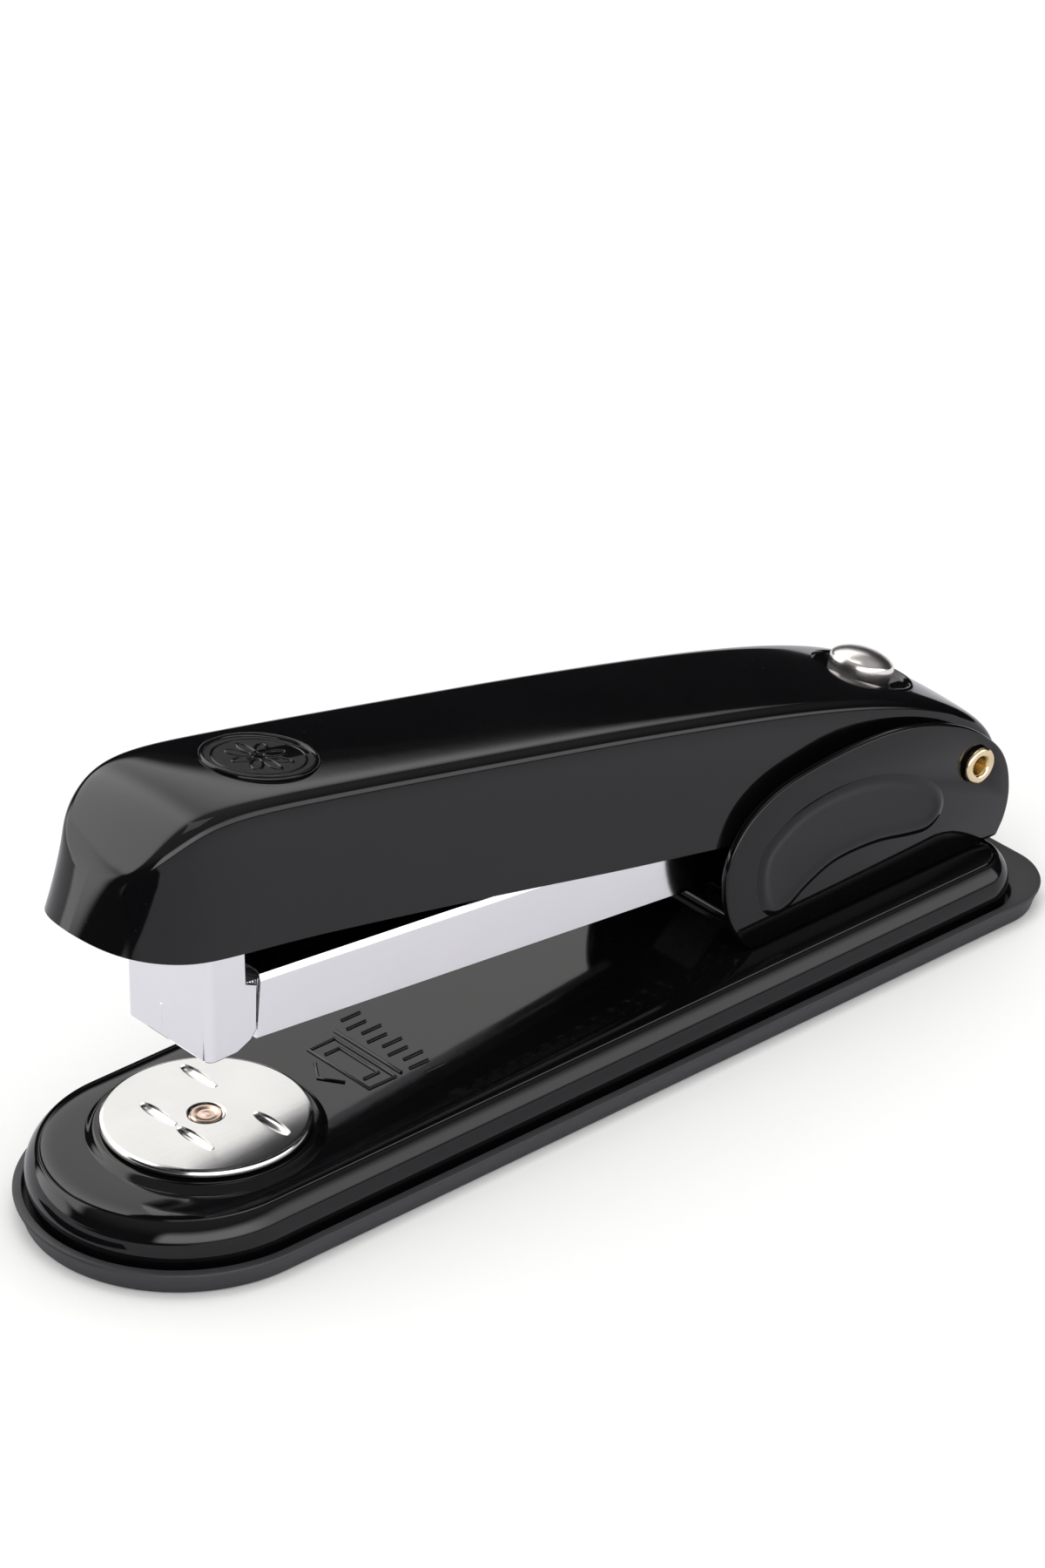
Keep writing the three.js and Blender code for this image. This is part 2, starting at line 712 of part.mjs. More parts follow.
// The cover's solid bulk with rounded upper edges and leaning sides.
function coverBulk(inset) {
  const round = COVER.edge;
  const half = COVER.half - inset;
  const side = new THREE.ExtrudeGeometry(coverOutline(inset + round, 12), {
    depth: 2 * (half - round),
    bevelEnabled: true,
    bevelThickness: round,
    bevelSize: round,
    bevelSegments: 3,
    curveSegments: 5,
  });
  side.translate(0, 0, round - half);
  side.applyMatrix4(AXES.X);
  const place = side.attributes.position;
  const lean = COVER.draft / COVER.half / (COVER.upperLevel - COVER.lowerLevel);
  for (let i = 0; i < place.count; i++) {
    const level = place.getZ(i) + COVER.slope * place.getY(i);
    place.setX(i, place.getX(i) * (1 - lean * (level - COVER.lowerLevel)));
  }
  const nose = loft([coverPlan(inset, COVER.lowerLevel - 50), coverPlan(inset, COVER.upperLevel + 20)]);
  return common(side, nose);
}

// A point and a direction on the cover where the release button stands.
const buttonSeat = new THREE.Group();
buttonSeat.position.set(0, BUTTON.y, BUTTON.z);
buttonSeat.rotation.x = BUTTON.tilt;
stapler.add(buttonSeat);

const onSeat = (geometry) => geometry.rotateX(BUTTON.tilt).translate(0, BUTTON.y, BUTTON.z);

function topCover() {
  const shell = cut(coverBulk(0), coverBulk(COVER.sheet), belowCover());
  const dishRoom = onSeat(cylinder("Z", BUTTON.dish - 0.2, -3.2, 4, 28));
  const dish = onSeat(turned("Z", [
    [BUTTON.hole, -2.1],
    [BUTTON.dish + 0.4, -0.9],
    [BUTTON.dish + 0.4, -0.1],
    [BUTTON.dish - 0.2, 0.25],
    [BUTTON.hole, -1.2],
    [BUTTON.hole, -2.1],
  ], 28));
  const axle = cylinder("X", PIVOT.radius + GAP, -20, 20, 20).translate(0, PIVOT.y, PIVOT.z);
  return cut(join(cut(shell, dishRoom), dish), axle);
}

// The driver: an upright blade with a foot that is welded under the cover's roof.
const driverBlade = () => plate("X", [
  [-58, 36],
  [-57.4, 36],
  [-55.6, 59.4],
  [-40, 56.4],
  [-40, 57.2],
  [-56.2, 60.3],
], -6.2, 6.2);

const coverSpring = () => coil(4, 0.5, 30.1, 45.8, 7, 10).translate(0, 7.2, 0);

piece(stapler, "top_cover", topCover(), BLACK_ENAMEL);
piece(stapler, "driver_blade", driverBlade(), STEEL);
piece(stapler, "cover_spring", coverSpring(), SPRING_STEEL);

// ---------------------------------------------------------------- release button, in the frame of its seat

const buttonCap = () => turned("Z", [
  [0, -1.6],
  [BUTTON.radius - 0.3, -1.6],
  [BUTTON.radius, -1.3],
  [BUTTON.radius, 1.5],
  [BUTTON.radius - 0.4, 2.1],
  [BUTTON.radius - 1.6, 2.6],
  [0, 2.9],
], 28);

const buttonStem = () => cylinder("Z", STEM.radius, STEM.bottom, STEM.top, 16);

// A pressed cup under the cover that guides the stem and seats the spring.
const buttonGuide = () => turned("Z", [
  [STEM.radius + GAP, GUIDE.bottom],
  [GUIDE.wall, GUIDE.bottom],
  [GUIDE.wall, GUIDE.top - GUIDE.sheet],
  [GUIDE.flange, GUIDE.top - GUIDE.sheet],
  [GUIDE.flange, GUIDE.top],
  [GUIDE.wall - GUIDE.sheet, GUIDE.top],
  [GUIDE.wall - GUIDE.sheet, GUIDE.bottom + GUIDE.sheet],
  [STEM.radius + GAP, GUIDE.bottom + GUIDE.sheet],
  [STEM.radius + GAP, GUIDE.bottom],
], 24);

const buttonSpring = () => coil(3.2, 0.25, GUIDE.bottom + GUIDE.sheet + 0.1, STEM.top - 0.1, 3, 10);

const stemClip = () => turned("Z", [
  [STEM.radius + CLOSE_GAP, -6.8],
  [2.7, -6.8],
  [2.7, -6.4],
  [STEM.radius + CLOSE_GAP, -6.4],
  [STEM.radius + CLOSE_GAP, -6.8],
], 16);

piece(buttonSeat, "button_cap", buttonCap(), CHROME);
piece(buttonSeat, "button_stem", buttonStem(), STEEL);
piece(buttonSeat, "button_guide", buttonGuide(), STEEL);
piece(buttonSeat, "button_spring", buttonSpring(), SPRING_STEEL);
piece(buttonSeat, "stem_clip", stemClip(), SPRING_STEEL);

export default stapler;
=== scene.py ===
"""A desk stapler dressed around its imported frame, with enamelled sheet, a chromed magazine and a rubber foot."""

import json
import logging
import math
from dataclasses import dataclass, field
from enum import Enum

import bmesh
import bpy
import numpy as np
from mathutils import Matrix, Vector


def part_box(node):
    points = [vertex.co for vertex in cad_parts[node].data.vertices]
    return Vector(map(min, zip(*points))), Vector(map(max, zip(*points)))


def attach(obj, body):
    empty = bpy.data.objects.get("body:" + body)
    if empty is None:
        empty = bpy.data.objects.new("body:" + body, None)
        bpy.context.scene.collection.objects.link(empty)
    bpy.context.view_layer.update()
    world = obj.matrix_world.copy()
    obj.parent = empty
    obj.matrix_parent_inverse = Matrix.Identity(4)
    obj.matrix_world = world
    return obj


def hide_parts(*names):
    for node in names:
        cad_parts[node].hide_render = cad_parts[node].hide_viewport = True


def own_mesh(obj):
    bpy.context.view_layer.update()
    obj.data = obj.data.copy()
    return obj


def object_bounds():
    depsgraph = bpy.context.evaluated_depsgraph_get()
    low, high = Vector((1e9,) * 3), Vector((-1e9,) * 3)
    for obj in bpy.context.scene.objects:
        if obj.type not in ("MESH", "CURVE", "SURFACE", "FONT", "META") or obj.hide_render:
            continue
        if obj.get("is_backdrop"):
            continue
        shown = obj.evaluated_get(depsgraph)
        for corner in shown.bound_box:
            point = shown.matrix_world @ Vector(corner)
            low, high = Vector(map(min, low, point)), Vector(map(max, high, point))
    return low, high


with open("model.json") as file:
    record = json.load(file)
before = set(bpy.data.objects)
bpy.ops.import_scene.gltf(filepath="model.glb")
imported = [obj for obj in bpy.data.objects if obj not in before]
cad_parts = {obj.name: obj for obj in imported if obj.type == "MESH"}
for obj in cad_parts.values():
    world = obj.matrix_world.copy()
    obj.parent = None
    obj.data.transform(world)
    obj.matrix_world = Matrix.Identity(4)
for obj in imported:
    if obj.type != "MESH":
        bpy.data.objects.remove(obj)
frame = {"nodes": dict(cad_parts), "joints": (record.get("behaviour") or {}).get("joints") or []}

MM = 0.001
SMOOTH_UNDER_DEG = 35.0
log = logging.getLogger("stapler")
Point = tuple[float, float, float]
Flat = list[tuple[float, float]]


class Slot(Enum):
    """The record's material slots."""

    ENAMEL = "enamel"
    RUBBER = "rubber"
    CHROME = "chrome"
    BRASS = "brass"
    STEEL = "steel"
    SPRING = "spring_steel"


class Axis(Enum):
    """The direction that a turned piece points in."""

    X = "X"
    Y = "Y"
    Z = "Z"


# ---------------------------------------------------------------- shader groups


def add_node(tree: bpy.types.NodeTree, kind: str, **inputs: object) -> bpy.types.Node:
    """Adds a node and sets inputs by name, with _ for a space.

    Args:
        tree: The node tree that gets the node.
        kind: The node's bl_idname.
        inputs: Default values of the node's sockets.

    Returns:
        The new node.
    """
    node = tree.nodes.new(kind)
    for name, value in inputs.items():
        node.inputs[name.replace("_", " ")].default_value = value
    return node


def add_math(tree: bpy.types.NodeTree, operation: str, *values: object) -> bpy.types.NodeSocket:
    """Adds a Math node whose inputs are sockets or numbers.

    Args:
        tree: The node tree.
        operation: The Math node's operation.
        values: A socket to link, or a number to set, for each input.

    Returns:
        The node's output socket.
    """
    node = tree.nodes.new("ShaderNodeMath")
    node.operation = operation
    for socket, value in zip(node.inputs, values):
        if isinstance(value, bpy.types.NodeSocket):
            tree.links.new(value, socket)
        else:
            socket.default_value = value
    return node.outputs[0]


def new_group(name: str, inputs: dict[str, float], outputs: tuple[str, ...]) -> tuple:
    """Starts a shader group of plain float sockets.

    Args:
        name: The group's name.
        inputs: Input names with their default values.
        outputs: Output names.

    Returns:
        The tree, its group input node and its group output node.
    """
    tree = bpy.data.node_groups.new(name, "ShaderNodeTree")
    for label, default in inputs.items():
        socket = tree.interface.new_socket(label, in_out="INPUT", socket_type="NodeSocketFloat")
        socket.default_value = default
    for label in outputs:
        tree.interface.new_socket(label, in_out="OUTPUT", socket_type="NodeSocketFloat")
    return tree, tree.nodes.new("NodeGroupInput"), tree.nodes.new("NodeGroupOutput")


def mottle_group() -> bpy.types.NodeTree:
    """A slow cloudy variation, as on paint, plating and rubber.

    Returns:
        The node group, with a Mask from 0 to 1.
    """
    tree, given, made = new_group("mottle", {"Scale": 60.0, "Contrast": 1.0}, ("Mask",))
    place = tree.nodes.new("ShaderNodeTexCoord")
    noise = add_node(tree, "ShaderNodeTexNoise", Detail=4.0, Roughness=0.6)
    tree.links.new(place.outputs["Object"], noise.inputs["Vector"])
    tree.links.new(given.outputs["Scale"], noise.inputs["Scale"])
    centred = add_math(tree, "SUBTRACT", noise.outputs["Fac"], 0.5)
    scaled = add_math(tree, "MULTIPLY", centred, given.outputs["Contrast"])
    shifted = add_math(tree, "ADD", scaled, 0.5)
    tree.links.new(shifted, made.inputs["Mask"])
    return tree


def hairline_group() -> bpy.types.NodeTree:
    """Fine lines along the length, as left by brushing, sliding and wiping.

    Returns:
        The node group, with Lines from 0 to 1.
    """
    tree, given, made = new_group("hairline", {"Across": 2500.0, "Along": 40.0}, ("Lines",))
    place = tree.nodes.new("ShaderNodeTexCoord")
    stretch = tree.nodes.new("ShaderNodeVectorMath")
    stretch.operation = "MULTIPLY"
    factors = tree.nodes.new("ShaderNodeCombineXYZ")
    tree.links.new(given.outputs["Across"], factors.inputs[0])
    tree.links.new(given.outputs["Along"], factors.inputs[1])
    tree.links.new(given.outputs["Across"], factors.inputs[2])
    tree.links.new(place.outputs["Object"], stretch.inputs[0])
    tree.links.new(factors.outputs[0], stretch.inputs[1])
    noise = add_node(tree, "ShaderNodeTexNoise", Scale=1.0, Detail=3.0, Roughness=0.55)
    tree.links.new(stretch.outputs[0], noise.inputs["Vector"])
    tree.links.new(noise.outputs["Fac"], made.inputs["Lines"])
    return tree


def dust_group() -> bpy.types.NodeTree:
    """Sparse specks of dust and lint.

    Returns:
        The node group, with Specks from 0 to 1.
    """
    tree, given, made = new_group("dust", {"Scale": 700.0, "Size": 0.06}, ("Specks",))
    place = tree.nodes.new("ShaderNodeTexCoord")
    cells = add_node(tree, "ShaderNodeTexVoronoi", Randomness=1.0)
    tree.links.new(place.outputs["Object"], cells.inputs["Vector"])
    tree.links.new(given.outputs["Scale"], cells.inputs["Scale"])
    near = add_math(tree, "LESS_THAN", cells.outputs["Distance"], given.outputs["Size"])
    patch = add_node(tree, "ShaderNodeTexNoise", Scale=35.0, Detail=2.0)
    tree.links.new(place.outputs["Object"], patch.inputs["Vector"])
    where = add_math(tree, "GREATER_THAN", patch.outputs["Fac"], 0.56)
    tree.links.new(add_math(tree, "MULTIPLY", near, where), made.inputs["Specks"])
    return tree


# ---------------------------------------------------------------- finishes


@dataclass(frozen=True)
class Finish:
    """A surface finish built on one Principled shader.

    The roughness runs between two values over a slow mottle, and fine lines or grain give the bump.
    """

    name: str
    slot: Slot
    color: Point
    color_worn: Point
    metallic: float
    rough_low: float
    rough_high: float
    mottle_scale: float
    bump_scale: float
    bump_mm: float
    line_share: float = 0.0
    line_across: float = 2500.0
    line_along: float = 40.0
    dust: float = 0.0
    ior: float = 1.5

    def build(self) -> bpy.types.Material:
        """Makes the material.

        Returns:
            The material, ready to assign.
        """
        material = bpy.data.materials.new(self.name)
        material.use_nodes = True
        tree = material.node_tree
        shader = tree.nodes["Principled BSDF"]
        shader.inputs["Metallic"].default_value = self.metallic
        shader.inputs["IOR"].default_value = self.ior
        place = tree.nodes.new("ShaderNodeTexCoord")
        mottle = self._group(tree, "mottle", Scale=self.mottle_scale, Contrast=1.6)
        lines = self._group(tree, "hairline", Across=self.line_across, Along=self.line_along)
        specks = self._group(tree, "dust")
        blend = add_math(
            tree,
            "ADD",
            add_math(tree, "MULTIPLY", mottle.outputs["Mask"], 1.0 - self.line_share),
            add_math(tree, "MULTIPLY", lines.outputs["Lines"], self.line_share),
        )
        rough = tree.nodes.new("ShaderNodeMapRange")
        rough.inputs["To Min"].default_value = self.rough_low
        rough.inputs["To Max"].default_value = self.rough_high
        tree.links.new(blend, rough.inputs["Value"])
        dusty = add_math(tree, "MULTIPLY", specks.outputs["Specks"], self.dust)
        tree.links.new(add_math(tree, "ADD", rough.outputs[0], dusty), shader.inputs["Roughness"])
        mix = tree.nodes.new("ShaderNodeMix")
        mix.data_type = "RGBA"
        mix.inputs[6].default_value = (*self.color, 1.0)
        mix.inputs[7].default_value = (*self.color_worn, 1.0)
        tree.links.new(blend, mix.inputs[0])
        tree.links.new(mix.outputs[2], shader.inputs["Base Color"])
        grain = add_node(tree, "ShaderNodeTexNoise", Scale=self.bump_scale, Detail=3.0)
        tree.links.new(place.outputs["Object"], grain.inputs["Vector"])
        height = add_math(
            tree,
            "ADD",
            add_math(tree, "MULTIPLY", grain.outputs["Fac"], 1.0 - self.line_share),
            add_math(tree, "MULTIPLY", lines.outputs["Lines"], self.line_share),
        )
        bump = add_node(tree, "ShaderNodeBump", Strength=1.0, Distance=self.bump_mm * MM)
        tree.links.new(height, bump.inputs["Height"])
        tree.links.new(bump.outputs["Normal"], shader.inputs["Normal"])
        return material

    @staticmethod
    def _group(tree: bpy.types.NodeTree, name: str, **inputs: float) -> bpy.types.Node:
        """Places a shared shader group in a material's tree.

        Args:
            tree: The material's node tree.
            name: The group's name.
            inputs: Values of its inputs.

        Returns:
            The group node.
        """
        node = tree.nodes.new("ShaderNodeGroup")
        node.node_tree = bpy.data.node_groups[name]
        for label, value in inputs.items():
            node.inputs[label].default_value = value
        return node


ENAMEL = Finish(
    "gloss_black_enamel", Slot.ENAMEL, (0.0022, 0.0020, 0.0024), (0.0040, 0.0038, 0.0044), 0.0,
    0.04, 0.09, 45.0, 420.0, 0.003, dust=0.25, ior=1.40,
)
GRAINED_ENAMEL = Finish(
    "grained_black_enamel", Slot.ENAMEL, (0.0022, 0.0020, 0.0024), (0.0040, 0.0038, 0.0044), 0.0,
    0.28, 0.42, 300.0, 1600.0, 0.03, ior=1.40,
)
CHROME = Finish(
    "polished_chrome", Slot.CHROME, (0.86, 0.86, 0.87), (0.80, 0.80, 0.82), 1.0,
    0.07, 0.14, 80.0, 900.0, 0.0015, line_share=0.45, line_across=3000.0, dust=0.1,
)
# A copy of the polished chrome with a darker colour: painted shade that tones down the anvil disc's bright reflection.
# The higher roughness is its satin finish.
DIMMED_ANVIL_CHROME = Finish(
    "satin_anvil_chrome_painted_shade", Slot.CHROME, (0.64, 0.63, 0.61), (0.55, 0.55, 0.54), 1.0,
    0.10, 0.20, 90.0, 900.0, 0.003, line_share=0.4, line_across=2600.0, dust=0.1,
)
# The warm beige colour is a painted reflection laid on the button's chrome; the higher roughness is its satin finish.
BUTTON_CHROME_PAINTED_REFLECTION = Finish(
    "satin_button_chrome_painted_reflection", Slot.CHROME, (0.90, 0.865, 0.84), (0.82, 0.78, 0.75), 1.0,
    0.20, 0.28, 120.0, 900.0, 0.002, line_share=0.3, dust=0.1,
)
BRASS = Finish(
    "polished_brass", Slot.BRASS, (0.88, 0.76, 0.52), (0.70, 0.55, 0.32), 1.0,
    0.12, 0.25, 400.0, 1500.0, 0.003, line_share=0.2,
)
COPPER = Finish(
    "coppered_rivet", Slot.BRASS, (0.78, 0.60, 0.50), (0.48, 0.33, 0.27), 1.0,
    0.16, 0.32, 600.0, 1500.0, 0.006, line_share=0.3,
)
RUBBER = Finish(
    "matte_black_rubber", Slot.RUBBER, (0.020, 0.019, 0.022), (0.034, 0.033, 0.037), 0.0,
    0.44, 0.66, 120.0, 2600.0, 0.02, dust=0.1,
)
STEEL = Finish(
    "zinc_plated_steel", Slot.STEEL, (0.62, 0.63, 0.64), (0.48, 0.48, 0.50), 1.0,
    0.22, 0.42, 150.0, 1200.0, 0.004, line_share=0.7, line_across=4000.0, line_along=60.0,
)
SPRING_STEEL = Finish(
    "oiled_spring_steel", Slot.SPRING, (0.40, 0.41, 0.43), (0.22, 0.22, 0.24), 1.0,
    0.18, 0.36, 300.0, 1600.0, 0.004, line_share=0.3,
)
STAPLE_WIRE = Finish(
    "galvanised_staple_wire", Slot.STEEL, (0.70, 0.71, 0.73), (0.56, 0.56, 0.58), 1.0,
    0.20, 0.36, 200.0, 1800.0, 0.003, line_share=0.5,
)


# ---------------------------------------------------------------- mesh tools


def smooth_path(points: list[Point], count: int, closed: bool = False) -> np.ndarray:
    """A Catmull-Rom curve through points, sampled evenly along its length.

    Args:
        points: The points it passes through.
        count: The number of samples.
        closed: Whether it returns to its start.

    Returns:
        An array of count points.
    """
    given = np.array(points, float)
    if closed:
        padded = np.vstack([given[-1], given, given[0], given[1]])
    else:
        padded = np.vstack([2 * given[0] - given[1], given, 2 * given[-1] - given[-2]])
    fine = []
    for a, b, c, d in zip(padded, padded[1:], padded[2:], padded[3:]):
        for t in np.linspace(0, 1, 24, endpoint=False):
            bend, twist = 2 * a - 5 * b + 4 * c - d, 3 * b - a - 3 * c + d
            fine.append(0.5 * (2 * b + (c - a) * t + bend * t**2 + twist * t**3))
    fine.append(given[0] if closed else given[-1])
    dense = np.array(fine)
    run = np.concatenate([[0], np.cumsum(np.linalg.norm(np.diff(dense, axis=0), axis=1))])
    at = np.linspace(0, run[-1], count, endpoint=not closed)
    return np.stack([np.interp(at, run, dense[:, k]) for k in range(dense.shape[1])], axis=1)


def mesh_object(name: str, vertices: list, faces: list, smooth_deg: float = SMOOTH_UNDER_DEG) -> bpy.types.Object:
    """A mesh object from vertices in millimetres, merged, facing out and smoothed by angle.

    Args:
        name: The object's name.
        vertices: Points in millimetres.
        faces: Tuples of vertex numbers.
        smooth_deg: Edges sharper than this stay sharp.

    Returns:
        The object, linked to the scene.
    """
    mesh = bpy.data.meshes.new(name)
    mesh.from_pydata([tuple(float(c) * MM for c in v) for v in vertices], [], faces)
    work = bmesh.new()
    work.from_mesh(mesh)
    bmesh.ops.remove_doubles(work, verts=work.verts, dist=1e-6)
    bmesh.ops.dissolve_degenerate(work, edges=work.edges, dist=1e-7)
    bmesh.ops.recalc_face_normals(work, faces=work.faces)
    work.to_mesh(mesh)
    work.free()
    made = bpy.data.objects.new(name, mesh)
    bpy.context.scene.collection.objects.link(made)
    shade(made, smooth_deg)
    return made


def shade(made: bpy.types.Object, angle_deg: float) -> None:
    """Smooths an object's faces, with sharp edges over an angle."""
    made.data.shade_smooth()
    made.data.set_sharp_from_angle(angle=math.radians(angle_deg))


def loft(rings: list, closed: bool = True, cap: bool = True, around: bool = False) -> tuple[list, list]:
    """A skin through rings of points with equal counts.

    Args:
        rings: Lists of points.
        closed: Whether each ring is a loop.
        cap: Whether the first and last ring are filled.
        around: Whether the last ring joins the first.

    Returns:
        Vertices and faces.
    """
    count = len(rings[0])
    vertices = [tuple(p) for ring in rings for p in ring]
    faces = []
    for r in range(len(rings) if around else len(rings) - 1):
        here, there = r * count, ((r + 1) % len(rings)) * count
        for i in range(count if closed else count - 1):
            j = (i + 1) % count
            faces.append((here + i, here + j, there + j, there + i))
    if cap and not around:
        faces.append(tuple(reversed(range(count))))
        faces.append(tuple(range((len(rings) - 1) * count, len(rings) * count)))
    return vertices, faces


def lathe(name: str, profile: Flat, centre: Point, axis: Axis = Axis.Z,
          segments: int = 96, smooth_deg: float = SMOOTH_UNDER_DEG) -> bpy.types.Object:
    """A closed piece turned about an axis.

    Args:
        name: The object's name.
        profile: (radius, height) pairs in millimetres; a closed loop when it starts where it ends.
        centre: The middle of the turning in millimetres.
        axis: The axis it points along.
        segments: Steps round the axis.
        smooth_deg: Edges sharper than this stay sharp.

    Returns:
        The object.
    """
    rings = []
    for k in range(segments):
        angle = 2 * math.pi * k / segments
        c, s = math.cos(angle), math.sin(angle)
        ring = []
        for radius, height in profile:
            local = {
                Axis.Z: (radius * c, radius * s, height),
                Axis.X: (height, radius * c, radius * s),
                Axis.Y: (radius * s, height, radius * c),
            }[axis]
            ring.append(tuple(a + b for a, b in zip(local, centre)))
        rings.append(ring)
    vertices, faces = loft(rings, closed=profile[0] == profile[-1], cap=False, around=True)
    return mesh_object(name, vertices, faces, smooth_deg)


def round_corners(profile: Flat, radius: float, steps: int = 4) -> Flat:
    """Rounds the inner corners of an open profile.

    Args:
        profile: Points of an open line.
        radius: The greatest rounding radius.
        steps: Points in each rounding.

    Returns:
        The rounded profile.
    """
    out = [profile[0]]
    for a, b, c in zip(profile, profile[1:], profile[2:]):
        before, corner, after = np.array(a, float), np.array(b, float), np.array(c, float)
        cut = min(radius, 0.45 * np.linalg.norm(before - corner), 0.45 * np.linalg.norm(after - corner))
        start = corner + cut * (before - corner) / np.linalg.norm(before - corner)
        end = corner + cut * (after - corner) / np.linalg.norm(after - corner)
        for t in np.linspace(0, 1, steps + 1):
            out.append(tuple((1 - t) ** 2 * start + 2 * t * (1 - t) * corner + t**2 * end))
    out.append(profile[-1])
    return out


def settle(made: bpy.types.Object) -> bpy.types.Object:
    """Turns an object's modifiers into plain mesh.

    Args:
        made: The object with modifiers.

    Returns:
        The same object with the result as its mesh.
    """
    bpy.context.view_layer.update()
    result = bpy.data.meshes.new_from_object(made.evaluated_get(bpy.context.evaluated_depsgraph_get()))
    made.modifiers.clear()
    made.data = result
    return made


def bevel(made: bpy.types.Object, width_mm: float, segments: int = 2,
          angle_deg: float = 32.0) -> bpy.types.Object:
    """Rounds an object's sharp edges and settles it.

    Args:
        made: The object.
        width_mm: The rounding's width.
        segments: Its steps.
        angle_deg: Edges sharper than this are rounded.

    Returns:
        The object.
    """
    tool = made.modifiers.new("bevel", "BEVEL")
    tool.width = width_mm * MM
    tool.segments = segments
    tool.limit_method = "ANGLE"
    tool.angle_limit = math.radians(angle_deg)
    even = made.modifiers.new("even", "WEIGHTED_NORMAL")
    even.weight = 100
    even.keep_sharp = True
    return settle(made)


def carve(made: bpy.types.Object, cutters: list[bpy.types.Object]) -> bpy.types.Object:
    """Cuts closed meshes out of a closed mesh.

    Args:
        made: The object to change.
        cutters: The objects to cut with; they are removed.

    Returns:
        The object.
    """
    for cutter in cutters:
        tool = made.modifiers.new("carve", "BOOLEAN")
        tool.object = cutter
        tool.operation = "DIFFERENCE"
        tool.solver = "EXACT"
    settle(made)
    for cutter in cutters:
        bpy.data.objects.remove(cutter)
    shade(made, SMOOTH_UNDER_DEG)
    return made


def slab(name: str, outline: Flat, low: float, high: float, axis: Axis = Axis.X) -> bpy.types.Object:
    """A flat plate with a given outline.

    Args:
        name: The object's name.
        outline: A closed outline, in (y, z) for X, (x, z) for Y or (x, y) for Z.
        low: Where it starts along the axis.
        high: Where it ends.
        axis: The axis it is thick along.

    Returns:
        The object.
    """
    order = {
        Axis.X: lambda a, b, c: (c, a, b),
        Axis.Y: lambda a, b, c: (a, c, b),
        Axis.Z: lambda a, b, c: (a, b, c),
    }[axis]
    vertices, faces = loft([[order(a, b, c) for a, b in outline] for c in (low, high)])
    return mesh_object(name, vertices, faces)


# ---------------------------------------------------------------- geometry node trees


class NodeTool:
    """A Geometry Nodes tree that is run once on an object and leaves plain mesh."""

    def __init__(self, name: str, inputs: dict[str, tuple[str, float]]) -> None:
        """Starts a tree with a geometry input and output, named inputs and a material.

        Args:
            name: The tree's name.
            inputs: Input names, each with its socket kind and default.
        """
        self.tree = bpy.data.node_groups.new(name, "GeometryNodeTree")
        face = self.tree.interface
        face.new_socket("Geometry", in_out="INPUT", socket_type="NodeSocketGeometry")
        self.keys = {
            label: face.new_socket(label, in_out="INPUT", socket_type=kind) for label, (kind, _) in inputs.items()
        }
        for label, (_, default) in inputs.items():
            self.keys[label].default_value = default
        self.keys["Material"] = face.new_socket("Material", in_out="INPUT", socket_type="NodeSocketMaterial")
        face.new_socket("Geometry", in_out="OUTPUT", socket_type="NodeSocketGeometry")
        self.given = self.tree.nodes.new("NodeGroupInput")
        self.made = self.tree.nodes.new("NodeGroupOutput")

    def add(self, kind: str, links: dict[str, bpy.types.NodeSocket], **values: object) -> bpy.types.Node:
        """Adds a node with linked inputs.

        Args:
            kind: The node's bl_idname.
            links: Sockets to link, by input name.
            values: Input values by name, with _ for a space.

        Returns:
            The node.
        """
        node = add_node(self.tree, kind, **values)
        for label, socket in links.items():
            self.tree.links.new(socket, node.inputs[label])
        return node

    def sweep(self, line: bpy.types.NodeSocket, radius: bpy.types.NodeSocket) -> None:
        """Ends the tree with a round, capped sweep along a line."""
        section = self.add("GeometryNodeCurvePrimitiveCircle", {"Radius": radius}, Resolution=10)
        links = {"Curve": line, "Profile Curve": section.outputs[0]}
        swept = self.add("GeometryNodeCurveToMesh", links, Fill_Caps=True)
        self.end(swept.outputs[0])

    def end(self, geometry: bpy.types.NodeSocket) -> None:
        """Ends the tree with Realize Instances and Set Material."""
        real = self.add("GeometryNodeRealizeInstances", {"Geometry": geometry})
        dressed = self.add(
            "GeometryNodeSetMaterial",
            {"Geometry": real.outputs[0], "Material": self.given.outputs["Material"]},
        )
        self.tree.links.new(dressed.outputs[0], self.made.inputs[0])

    def run(self, target: bpy.types.Object, material: bpy.types.Material, **values: object) -> bpy.types.Object:
        """Runs the tree on an object and settles it.

        Args:
            target: The object whose geometry goes in.
            material: The material it sets.
            values: Inputs by name, with _ for a space.

        Returns:
            The object, a closed mesh that faces out.
        """
        tool = target.modifiers.new("tool", "NODES")
        tool.node_group = self.tree
        for label, value in values.items():
            tool[self.keys[label.replace("_", " ")].identifier] = value
        tool[self.keys["Material"].identifier] = material
        settle(target)
        work = bmesh.new()
        work.from_mesh(target.data)
        bmesh.ops.remove_doubles(work, verts=work.verts, dist=1e-7)
        bmesh.ops.recalc_face_normals(work, faces=work.faces)
        work.to_mesh(target.data)
        work.free()
        shade(target, 50.0)
        return target


def ridge_tool() -> NodeTool:
    """A round ridge that follows the input's edges.

    Returns:
        The tool, with a Radius input in metres.
    """
    tool = NodeTool("ridge_on_path", {"Radius": ("NodeSocketFloat", 0.0003)})
    path = tool.add("GeometryNodeMeshToCurve", {"Mesh": tool.given.outputs["Geometry"]})
    tool.sweep(path.outputs[0], tool.given.outputs["Radius"])
    return tool


